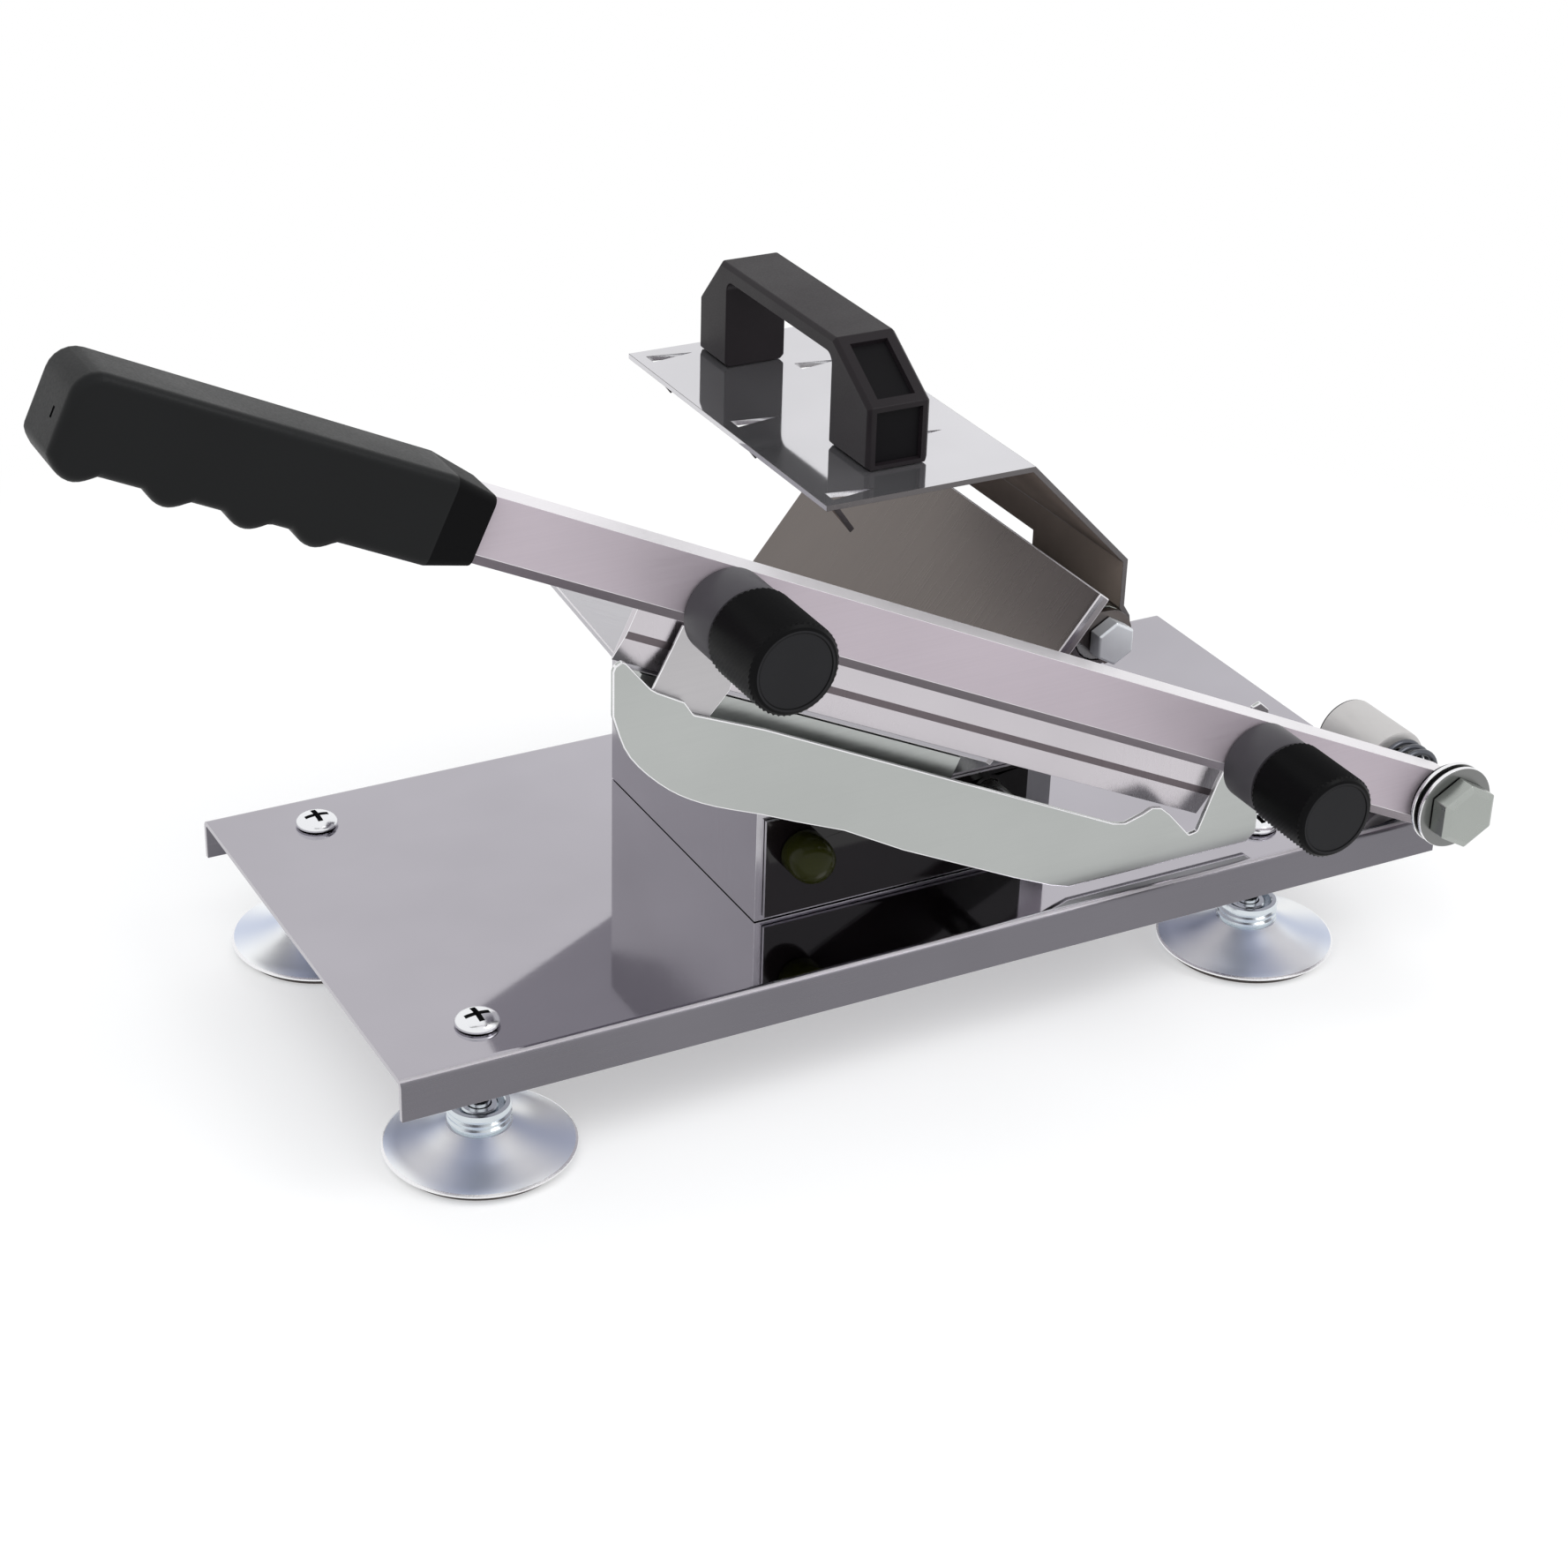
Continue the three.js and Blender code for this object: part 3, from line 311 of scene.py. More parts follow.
def tone(red, green, blue):
    """A colour read from the photograph as 0 to 255, made linear."""
    def linear(value):
        value /= 255
        return value / 12.92 if value <= 0.04045 else ((value + 0.055) / 1.055) ** 2.4
    return (linear(red), linear(green), linear(blue), 1.0)


def scaled(colour, share):
    return tuple(min(1.0, part * share) for part in colour[:3]) + (1.0,)


class Finish:
    """A material being wired up: its nodes, its shader and the object's own coordinates."""

    def __init__(self, name):
        self.material = bpy.data.materials.new(name)
        self.material.use_nodes = True
        self.tree = self.material.node_tree
        self.shader = self.tree.nodes["Principled BSDF"]
        self.coordinates = self.tree.nodes.new("ShaderNodeTexCoord")

    def link(self, start, end):
        self.tree.links.new(start, end)

    def noise(self, stretch, detail=2.0):
        """Noise with its own scale along X, Y and Z, in waves per metre."""
        mapping = self.tree.nodes.new("ShaderNodeMapping")
        mapping.inputs["Scale"].default_value = stretch
        texture = self.tree.nodes.new("ShaderNodeTexNoise")
        texture.inputs["Scale"].default_value = 1.0
        texture.inputs["Detail"].default_value = detail
        texture.inputs["Roughness"].default_value = 0.5
        self.link(self.coordinates.outputs["Object"], mapping.inputs["Vector"])
        self.link(mapping.outputs["Vector"], texture.inputs["Vector"])
        return texture.outputs["Fac"]

    def spread(self, value, low, high, start=0.3, end=0.7):
        node = self.tree.nodes.new("ShaderNodeMapRange")
        node.inputs["From Min"].default_value = start
        node.inputs["From Max"].default_value = end
        node.inputs["To Min"].default_value = low
        node.inputs["To Max"].default_value = high
        self.link(value, node.inputs["Value"])
        return node.outputs["Result"]

    def together(self, first, second):
        node = self.tree.nodes.new("ShaderNodeMath")
        node.operation = "ADD"
        self.link(first, node.inputs[0])
        self.link(second, node.inputs[1])
        return node.outputs["Value"]

    def colour(self, value, dark, light):
        node = self.tree.nodes.new("ShaderNodeMix")
        node.data_type = "RGBA"
        node.inputs[6].default_value = dark
        node.inputs[7].default_value = light
        self.link(value, node.inputs[0])
        self.link(node.outputs[2], self.shader.inputs["Base Color"])

    def roughness(self, value):
        self.link(value, self.shader.inputs["Roughness"])

    def bump(self, value, strength, height):
        node = self.tree.nodes.new("ShaderNodeBump")
        node.inputs["Strength"].default_value = strength
        node.inputs["Distance"].default_value = height * MM
        self.link(value, node.inputs["Height"])
        self.link(node.outputs["Normal"], self.shader.inputs["Normal"])


def steel(name, colour, rough, grain, lines=0.15, metallic=1.0):
    """Metal with drawn or ground lines along the axis whose grain number is small."""
    finish = Finish(name)
    finish.shader.inputs["Metallic"].default_value = metallic
    streaks = finish.noise(grain, detail=3)
    patches = finish.noise((16, 16, 16), detail=3)
    finish.colour(
        finish.spread(patches, 0, 1),
        scaled(colour, 0.95),
        scaled(colour, 1.05),
    )
    finish.roughness(
        finish.together(
            finish.spread(streaks, rough * 0.85, rough * 1.15),
            finish.spread(patches, -0.02, 0.03),
        )
    )
    finish.bump(streaks, lines, 0.05)
    return finish.material


def plastic(name, colour, rough, grain=2200, depth=0.2, gloss=0.25):
    """Moulded plastic with a fine even grain and slight wear in its sheen."""
    finish = Finish(name)
    finish.shader.inputs["Specular IOR Level"].default_value = gloss
    pores = finish.noise((grain, grain, grain), detail=2)
    patches = finish.noise((40, 40, 40), detail=4)
    finish.colour(
        finish.spread(patches, 0, 1),
        scaled(colour, 0.9),
        scaled(colour, 1.1),
    )
    finish.roughness(
        finish.together(
            finish.spread(pores, rough * 0.92, rough * 1.08),
            finish.spread(patches, -0.04, 0.05),
        )
    )
    finish.bump(pores, depth, 0.04)
    return finish.material


FINISHES = {
    "sheet": steel("polished_sheet", tone(177, 174, 181), 0.05, (40, 900, 900), lines=0.01),
    # The flange is a darker copy of the sheet as painted shade, and the fold a lighter painted
    # highlight along the bend.
    "flange": steel("shaded_fold", tone(118, 116, 122), 0.3, (40, 1500, 1500), lines=0.04),
    "fold": steel("painted_highlight_fold", tone(192, 189, 194), 0.6, (40, 1500, 1500), lines=0.0),
    "wall": steel("satin_wall", tone(182, 180, 185), 0.2, (1500, 1500, 60), lines=0.03),
    "tray": steel("tray_sheet", tone(172, 170, 176), 0.22, (60, 1500, 60), lines=0.03),
    "shaded": steel("shaded_wall", tone(112, 106, 103), 0.3, (60, 1500, 60), lines=0.01),
    "hem": steel("folded_hem", tone(158, 154, 157), 0.35, (60, 1500, 60), lines=0.03),
    # Painted shade for front edges and for the eased edges of the front bracket.
    "cut": steel("painted_shade_edge", tone(104, 101, 102), 0.3, (900, 900, 900), lines=0.0),
    # Painted highlight for eased edges, rims and slot sides.
    "bright": steel("bright_edge", tone(240, 240, 242), 0.25, (900, 900, 900), lines=0.0),
    "plate": steel("brushed_plate", tone(181, 184, 182), 0.34, (40, 2500, 2500), lines=0.05),
    "arm": steel("drawn_bar", tone(181, 171, 179), 0.5, (30, 2200, 2200), 0.05, 0.5),
    "lit": steel("lit_edge", tone(222, 219, 222), 0.4, (30, 2200, 2200), 0.03, 0.6),
    "chamfer": steel("shaded_chamfer", tone(134, 126, 132), 0.4, (30, 2200, 2200), lines=0.05),
    "blade": steel("ground_blade", tone(203, 198, 203), 0.24, (2600, 2600, 50), lines=0.04),
    # Painted reflection: the dark band at the top of the blade's ground bevel.
    "band": steel("painted_reflection_band", tone(112, 104, 108), 0.45, (2600, 2600, 50), lines=0.04),
    "mirror": steel("mirror_sheet", tone(211, 210, 214), 0.05, (40, 900, 900), 0.0, 0.93),
    "pale": steel("pale_bolt", tone(204, 207, 211), 0.35, (300, 300, 300), 0.02, 0.55),
    "boss": steel("zinc_boss", tone(214, 221, 226), 0.2, (90, 90, 90), lines=0.01),
    "guide": steel("guide_sheet", tone(188, 186, 188), 0.4, (40, 2500, 2500), lines=0.05),
    "tube": steel("matt_tube", tone(194, 192, 191), 0.5, (90, 90, 900), 0.03, 0.7),
    "washer": steel("washer_face", tone(128, 129, 128), 0.3, (300, 300, 300), lines=0.02),
    "bolt": steel("plain_bolt", tone(166, 170, 166), 0.28, (300, 300, 300), lines=0.03),
    "chrome": steel("bright_screw", tone(236, 237, 240), 0.18, (300, 300, 300), lines=0.01),
    "spring": steel("oiled_spring", tone(92, 94, 100), 0.3, (300, 300, 300), lines=0.05),
    "black": plastic("black_moulding", tone(25, 21, 24), 0.42, gloss=0.18),
    # Painted shade for the sunk panels of the handle.
    "well": plastic("painted_shade_well", tone(12, 11, 13), 0.5, gloss=0.08),
    "grip": plastic("grip_moulding", tone(13, 14, 15), 0.44, grain=1500, depth=0.3, gloss=0.17),
    "collar": plastic("collar_moulding", tone(7, 7, 8), 0.5, grain=1500, depth=0.2, gloss=0.06),
    "knob": plastic("knob_moulding", tone(5, 5, 6), 0.4, grain=1800, depth=0.1, gloss=0.08),
    "face": plastic("knob_face", tone(28, 28, 30), 0.45, grain=1800, depth=0.2, gloss=0.13),
    "sleeve": plastic("sleeve_moulding", tone(62, 60, 64), 0.4),
    # The dial's olive tint is painted reflection on a dark dome.
    "dial": plastic("dial_painted_reflection", tone(38, 40, 12), 0.2, grain=600, depth=0.03, gloss=0.12),
    "panel": plastic("gloss_panel", tone(20, 16, 18), 0.06, grain=300, depth=0.01, gloss=0.35),
    "border": steel("pale_border", tone(238, 237, 239), 0.4, (300, 300, 300), lines=0.0),
    # Painted shade for recesses, hollows and the tube's back rim.
    "slot": plastic("painted_recess_shade", tone(30, 30, 32), 0.5, grain=900, depth=0.05, gloss=0.1),
    # Painted shade, a dim brownish diffuse face for the inside of the press plate.
    "inner": plastic("painted_shade_inner_face", tone(128, 117, 109), 0.6, depth=0.0, gloss=0.0),
    "rubber": plastic("pad_rubber", tone(66, 60, 58), 0.75, grain=1200, depth=0.4),
}


def foot_zinc_painted_rays(corner):
    """Zinc with four rays of painted highlight round the middle of one foot, lighter and darker by the
    angle round it.
    """
    rays, first_ray = 4, 2.0
    x, y = FEET[corner]
    finish = Finish(f"foot_zinc_{corner}")
    finish.shader.inputs["Metallic"].default_value = 0.8
    middle = at(x, y, 0)
    mapping = finish.tree.nodes.new("ShaderNodeMapping")
    mapping.inputs["Location"].default_value = (-middle.x, -middle.y, 0)
    finish.link(finish.coordinates.outputs["Object"], mapping.inputs["Vector"])
    round_way = finish.tree.nodes.new("ShaderNodeTexGradient")
    round_way.gradient_type = "RADIAL"
    finish.link(mapping.outputs["Vector"], round_way.inputs["Vector"])
    last_ray = first_ray + rays * 2 * math.pi
    angle = finish.spread(round_way.outputs["Fac"], first_ray, last_ray, 0, 1)
    wave = finish.tree.nodes.new("ShaderNodeMath")
    wave.operation = "COSINE"
    finish.link(angle, wave.inputs[0])
    # The rays run between these two tones as painted reflection.
    dark, light = tone(203, 211, 229), tone(252, 254, 255)
    finish.colour(finish.spread(wave.outputs["Value"], 1, 0, -1, 1), dark, light)
    finish.roughness(finish.spread(finish.noise((90, 90, 90)), 0.28, 0.36))
    return finish.material


FINISHES.update({f"zinc_{corner}": foot_zinc_painted_rays(corner) for corner in FEET})


def coat(piece, finishes):
    """Gives a piece the finishes that its faces choose from by number."""
    piece.data.materials.clear()
    for finish in finishes.split():
        piece.data.materials.append(FINISHES[finish])


def dress(piece, body, slot, *nodes):
    """Gives a piece its body and hides the nodes that it stands for. The slot is not used."""
    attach(piece, body)
    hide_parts(*nodes)


def paint_faces(piece, index, test):
    """Gives the faces that pass the test another of the piece's finishes."""
    for face in piece.data.polygons:
        if test(face.center, face.normal):
            face.material_index = index


# Sheet and bar pieces whose outline the frame already has, with their edges eased; bright eased edges
# are painted highlights

PLAIN_COPIES = [
    ("pedestal", "wall bright", "frame", "sheet_steel", 0.4),
    ("shear_strip", "plate", "frame", "plate_steel", 0.2),
    # Painted shade over the whole front bracket, and on its edges.
    ("rod_bracket_front", "shaded cut", "frame", "sheet_steel", 0.3),
    ("rod_bracket_rear", "tray bright", "frame", "sheet_steel", 0.3),
    ("pivot_saddle", "wall bright", "frame", "sheet_steel", 0.4),
    ("pivot_washer_back", "washer", "frame", "zinc", 0.2),
    ("pivot_nut", "bolt", "frame", "bolt_steel", 0.4),
    ("adjusting_screw", "bolt", "adjuster", "bolt_steel", 0.3),
    ("carriage", "wall", "slice_stop", "sheet_steel", 0.3),
    ("guide_rod_upper", "bolt", "slice_stop", "bolt_steel", 0.4),
    ("guide_rod_lower", "bolt", "slice_stop", "bolt_steel", 0.4),
    ("front_plate", "plate bright", "slice_stop", "plate_steel", 0.35),
    ("blade_guide", "guide bright", "slice_stop", "plate_steel", 0.25),
    ("press_bush", "bolt", "press_carrier", "bolt_steel", 0.4),
    ("press_handle_screw_1", "bolt", "press", "bolt_steel", 0.3),
    ("press_handle_screw_2", "bolt", "press", "bolt_steel", 0.3),
    ("handle_pin", "bolt", "arm", "bolt_steel", 0.2),
    ("blade_spacer_left", "bolt", "arm", "bolt_steel", 0.3),
    ("blade_spacer_right", "bolt", "arm", "bolt_steel", 0.3),
    ("blade_bolt_left", "bolt", "arm", "bolt_steel", 0.2),
    ("blade_bolt_right", "bolt", "arm", "bolt_steel", 0.2),
]


def plain_copies():
    for node, finishes, body, slot, width in PLAIN_COPIES:
        piece = copy_of_node(node, f"{node}_finished")
        coat(piece, finishes)
        # The eased edges take the last finish: a painted highlight where it is bright, painted shade
        # where it is cut.
        ease_edges(piece, width, edge=len(finishes.split()) - 1)
        smooth_flats(piece)
        dress(piece, body, slot, node)


def base_plate():
    piece = copy_of_node("base_plate", "base_plate_finished")
    coat(piece, "sheet flange fold")
    fold = base_high.z - 2.5 * MM
    # Painted shade on the faces that look front and back, and a painted highlight on the bend and its
    # eased edges.
    paint_faces(piece, 1, lambda middle, normal: abs(normal.y) > 0.7)
    paint_faces(piece, 2, lambda middle, normal: middle.z > fold and 0.3 < abs(normal.y) < 0.7)
    ease_edges(piece, 0.3, edge=2)
    smooth_flats(piece)
    dress(piece, "frame", "sheet_steel", "base_plate")


def meat_tray():
    """The tray, its leaning wall painted darker inside as shade and hemmed along the front edge."""
    piece = copy_of_node("meat_tray", "meat_tray_finished")
    coat(piece, "tray lit shaded hem")
    outward = Vector((math.cos(TRAY_LEAN), 0, -math.sin(TRAY_LEAN)))
    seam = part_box("meat_tray")[0].y + (HEM + 0.4) * MM
    open_mesh(piece)
    bpy.ops.mesh.select_all(action="SELECT")
    bpy.ops.mesh.bisect(plane_co=(0, seam, 0), plane_no=(0, 1, 0))
    pick_faces(piece, lambda middle, normal: normal.dot(outward) > 0.99 and middle.y < seam)
    bpy.ops.mesh.extrude_region_move(TRANSFORM_OT_translate={"value": outward * HEM * MM})
    close_mesh()
    # Painted shade on the inner face of the leaning wall.
    paint_faces(piece, 2, lambda middle, normal: normal.dot(outward) < -0.99)
    wall = at(TRAY_CORNER, 0, 0).x
    # The front faces of the wall and its hem are painted a little darker than the tray, as painted
    # shade.
    paint_faces(piece, 3, lambda middle, normal: normal.y < -0.9 and middle.x > wall)
    # The eased edges take the lit finish, a painted highlight.
    ease_edges(piece, 0.35, edge=1)
    smooth_flats(piece)
    dress(piece, "frame", "sheet_steel", "meat_tray")


def press_plate():
    """The press plate, a mirror above, with painted shade on its front edges and on the inside of its
    slope and wall.
    The cut sides of the slots that its teeth were punched from are painted highlights."""
    piece = copy_of_node("press_plate", "press_plate_finished")
    coat(piece, "mirror cut inner bright")
    slope_inside = Vector((-0.717, 0, -0.697))
    low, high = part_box("press_plate")
    top, under = high.z - 0.05 * MM, high.z - 1.6 * MM
    front, back, left = low.y + MM, high.y - MM, low.x + MM

    def in_wall(middle, normal):
        return normal.x < -0.95 and middle.x > low.x + 3 * MM

    def in_slot(middle, normal):
        inside = front < middle.y < back and middle.x > left
        return inside and under < middle.z < top and abs(normal.z) < 0.5 and normal.x < 0.6

    # Painted shade on the front edges.
    paint_faces(piece, 1, lambda middle, normal: normal.y < -0.9)
    # Painted shade on the inside of the slope and the wall.
    paint_faces(piece, 2, lambda middle, normal: normal.dot(slope_inside) > 0.95)
    paint_faces(piece, 2, in_wall)
    # Painted highlight on the cut sides of the slots.
    paint_faces(piece, 3, in_slot)
    # The eased edges get the same painted shade as the front edges.
    ease_edges(piece, 0.2, edge=1)
    smooth_flats(piece)
    dress(piece, "press", "bright_steel", "press_plate")


def label_panel():
    """The glossy panel on the pedestal, bare inside its pale border."""
    piece = copy_of_node("label_panel", "label_panel_finished")
    coat(piece, "border panel")
    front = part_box("label_panel")[0].y
    open_mesh(piece)
    pick_faces(piece, lambda middle, normal: normal.y < -0.9)
    bpy.ops.mesh.inset(thickness=1.2 * MM, depth=-0.12 * MM, use_boundary=True)
    close_mesh()
    depth = front + 0.05 * MM
    paint_faces(piece, 1, lambda middle, normal: normal.y < -0.9 and middle.y > depth)
    ease_edges(piece, 0.1)
    smooth_flats(piece)
    dress(piece, "frame", "panel_black", "label_panel")


def arm_bar():
    """The arm, with its darker lower chamfer and its light top and edges."""
    piece = copy_of_node("arm_bar", "arm_bar_finished")
    coat(piece, "arm chamfer lit")
    down = Vector((-math.sin(ARM_PITCH), 0, -math.cos(ARM_PITCH)))
    paint_faces(piece, 1, lambda middle, normal: normal.y < -0.3 and normal.dot(down) > 0.3)
    paint_faces(piece, 2, lambda middle, normal: normal.dot(down) < -0.9)
    ease_edges(piece, 0.45, edge=2)
    smooth_flats(piece)
    dress(piece, "arm", "arm_steel", "arm_bar")


# Feet

def foot_profile():
    """Radius and height of the zinc foot from its underside to the top of its boss."""
    rim, neck, hole = FOOT_RIM, FOOT_NECK, 3.3
    low = PAD_HEIGHT + PLAY
    steps = [(hole, low), (rim - 0.4, low), (rim, low + 0.25), (rim, low + 0.7)]
    steps += [(rim - 0.6, 3.35), (21.5, 3.95), (17.5, 4.95), (13.5, 6.5), (10.6, 8.2), (8.7, 9.2)]
    for height in (9.6, 11.3, 13.0):
        steps += [(neck - 0.6, height), (neck - 0.6, height + 0.35)]
        steps += [(neck, height + 0.75), (neck, height + 1.15)]
    steps += [(8.1, 15.05), (7.9, 15.1), (6.9, 15.1), (6.6, 14.8), (6.6, 12.1), (5.0, 12.1)]
    steps += [(5.0, 14.1), (4.6, 14.5), (hole, 14.5), (hole, low)]
    return steps


def foot_screw():
    """A pan head with a cross recess on a plain shank."""
    piece = turned(
        "foot_screw",
        [
            (3.0, -31), (3.0, 0.3), (5.5, 0.3), (5.9, 0.6), (5.95, 1.0), (5.7, 1.6),
            (5.0, 2.25), (3.9, 2.75), (2.6, 3.05), (1.3, 3.2), (0.3, 3.25),
        ],
        sides=48,
        along="Z",
    )
    coat(piece, "chrome slot")
    half, thin, floor = 3.4, 0.75, 1.1
    for name, across, along in (("slot", half, thin), ("cross_slot", thin, half)):
        cut_away(piece, block(name, (-across, -along, floor), (across, along, 6)))
    inside = (half + 0.1) * MM
    # Painted shade: the floor and walls of the cross recess get the dark recess finish.
    paint_faces(
        piece,
        1,
        lambda middle, normal: middle.z > floor * MM - 1e-6
        and max(abs(normal.x), abs(normal.y), abs(normal.z)) > 0.999
        and math.hypot(middle.x, middle.y) < inside,
    )
    smooth(piece, 35)
    return piece


def foot_nut():
    piece = copy_of_node("foot_nut_front_left", "foot_nut")
    coat(piece, "bolt")
    ease_edges(piece, 0.5)
    smooth(piece)
    x, y = FEET["front_left"]
    return move_to(piece, -at(x, y, 0))


def finish_foot(piece, corner):
    """The cone's zinc with its rays of painted highlight, a darker boss and a rim painted as a
    highlight.
    """
    coat(piece, f"zinc_{corner} boss bright")
    axis = at(*FEET[corner], 0)

    def away(middle):
        return math.hypot(middle.x - axis.x, middle.y - axis.y) / MM

    paint_faces(piece, 1, lambda middle, normal: away(middle) < FOOT_NECK + 0.5)
    # The rim faces take the bright finish, a painted highlight.
    paint_faces(piece, 2, lambda middle, normal: away(middle) > FOOT_RIM - 0.7)


def feet():
    cone = turned("foot_cone", foot_profile(), sides=96, along="Z", ring=True)
    smooth(cone, 28)
    radius, height = PAD_RADIUS, PAD_HEIGHT
    pad = turned(
        "foot_pad",
        [
            (radius - 0.7, 0), (radius - 0.2, 0.3), (radius, 0.8),
            (radius, height - 0.7), (radius - 0.4, height - 0.2), (radius - 1, height),
        ],
        sides=96,
        along="Z",
    )
    coat(pad, "rubber")
    smooth(pad, 40)
    screw, nut = foot_screw(), foot_nut()
    for corner, (x, y) in FEET.items():
        for source, node, slot, z in (
            (cone, "foot", "zinc", -STAND),
            (pad, "foot_pad", "pad_rubber", -STAND),
            (screw, "foot_screw", "bright_steel", 0),
            (nut, "foot_nut", "bolt_steel", 0),
        ):
            piece = copy_of(source, f"{node}_{corner}_finished", at(x, y, z) / MM)
            dress(piece, "frame", slot, f"{node}_{corner}")
            if source is cone:
                finish_foot(piece, corner)
    for source in (cone, pad, screw, nut):
        bpy.data.objects.remove(source)


# Bolts, washers, tube and spring

def hex_head(name, flats, front, back, crown):
    """A hexagon along Y, chamfered round its front face."""
    corner = flats / 2 / math.cos(math.pi / 6)
    outline = [(corner - crown, front), (corner, front + crown * 0.7), (corner, back)]
    return turned(name, outline, sides=6)


def joined(piece, other):
    """Makes one closed mesh of two that overlap."""
    apply_modifier(piece, "BOOLEAN", object=other, operation="UNION", solver="EXACT")
    bpy.data.objects.remove(other)
    return piece


def pivot_pieces():
    axis = at(PIVOT[0], 0, PIVOT[1])
    flats, height = PIVOT_HEX
    hex_back = ARM_FRONT - 2 * WASHER_THICKNESS - 3 * PLAY
    head = hex_head("pivot_bolt_finished", flats, hex_back - height, hex_back, PIVOT_CHAMFER)
    end, radius = TUBE_BACK - 0.8, PIVOT_HOLE - 0.4
    shank = turned(
        "shank",
        [(radius, hex_back - 0.3), (radius, end - 0.4), (radius - 0.5, end)],
        sides=48,
    )
    bolt = joined(head, shank)
    coat(bolt, "bolt")
    ease_edges(bolt, 0.25)
    smooth_flats(bolt)
    dress(move_to(bolt, axis), "frame", "bolt_steel", "pivot_bolt")
    washer = pivot_washer()
    for i in (1, 2):
        place = axis / MM - Vector((0, (i - 1) * (WASHER_THICKNESS + PLAY), 0))
        piece = copy_of(washer, f"pivot_washer_front_{i}_finished", place)
        dress(piece, "frame", "zinc", f"pivot_washer_front_{i}")
    bpy.data.objects.remove(washer)
    dress(move_to(pivot_tube(), axis), "frame", "zinc", "pivot_tube")
    pivot_spring(axis)


def pivot_washer():
    """The washer next to the arm: a rim painted as a highlight in front of a hollow painted dark as
    shade.
    """
    back = ARM_FRONT - PLAY
    front = back - WASHER_THICKNESS
    radius, hole = WASHER_RADIUS, PIVOT_HOLE
    washer = turned(
        "pivot_washer",
        [
            (hole, front + 0.2), (hole + 0.3, front), (radius - 0.4, front),
            (radius - 0.15, front + 0.1), (radius, front + 0.35), (radius, front + 1.1),
            (radius - 0.2, front + 1.35), (radius - 1, front + 1.5), (radius - 1.1, back),
            (hole, back), (hole, front + 0.2),
        ],
        ring=True,
    )
    coat(washer, "washer bright slot")
    rim = (radius - 0.2) * MM
    # Painted highlight on the rim, and painted shade in the hollow behind it.
    paint_faces(washer, 1, lambda middle, normal: math.hypot(middle.x, middle.z) > rim)
    paint_faces(washer, 2, lambda middle, normal: middle.y > (front + 1.3) * MM)
    smooth(washer, 34)
    return washer


def pivot_tube():
    """The tube behind the arm, with its back rim painted dark as shade round the recess that hides the
    nut.
    """
    front, back = TUBE_FRONT, TUBE_BACK
    radius, hole = TUBE_RADIUS, PIVOT_HOLE
    recess, depth = TUBE_RECESS
    tube = turned(
        "pivot_tube_finished",
        [
            (hole, front + 0.1), (radius - 0.8, front), (radius - 0.2, front + 0.3),
            (radius, front + 0.9), (radius, back - 1.3), (radius, back - 0.9),
            (radius - 0.2, back - 0.3), (radius - 0.6, back), (recess + 0.3, back),
            (recess, back - 0.3), (recess, back - depth), (hole, back - depth),
            (hole, front + 0.1),
        ],
        ring=True,
    )
    coat(tube, "tube slot")
    # Painted shade on the back rim.
    paint_faces(tube, 1, lambda middle, normal: middle.y > (back - 1.1) * MM)
    smooth(tube, 34)
    return tube


def pivot_spring(axis):
    """A round wire swept up a screw path between the arm and the tube, its ends closed."""
    wire, radius, turns = 0.9, 8.2, 3
    front, back = ARM_BACK + PLAY + wire, TUBE_FRONT - PLAY - wire
    clear_selection()
    bpy.ops.mesh.primitive_circle_add(
        vertices=14, radius=wire * MM, fill_type="NOTHING", location=(radius * MM, 0, 0)
    )
    piece = settle("pivot_spring_finished")
    # The screw climbs along Z, so the spring is wound upright and then laid along Y.
    open_mesh(piece)
    bpy.ops.mesh.select_all(action="SELECT")
    bpy.ops.transform.rotate(
        value=math.pi / 2, orient_axis="X", center_override=(radius * MM, 0, 0)
    )
    close_mesh()
    apply_modifier(
        piece,
        "SCREW",
        axis="Z",
        angle=2 * math.pi * turns,
        screw_offset=(back - front) * MM,
        steps=turns * 36,
        render_steps=turns * 36,
        use_merge_vertices=False,
    )
    open_mesh(piece)
    bpy.ops.mesh.select_all(action="DESELECT")
    bpy.ops.mesh.select_mode(type="EDGE")
    bpy.ops.mesh.select_non_manifold()
    bpy.ops.mesh.edge_face_add()
    close_mesh()
    face_outward(piece)
    work_on(piece)
    piece.rotation_euler = (-math.pi / 2, 0, 0)
    piece.location = axis + Vector((0, front * MM, 0))
    bpy.ops.object.transform_apply(location=True, rotation=True, scale=True)
    coat(piece, "spring")
    smooth(piece, 60)
    dress(piece, "frame", "spring_steel", "pivot_spring")


# Knobs

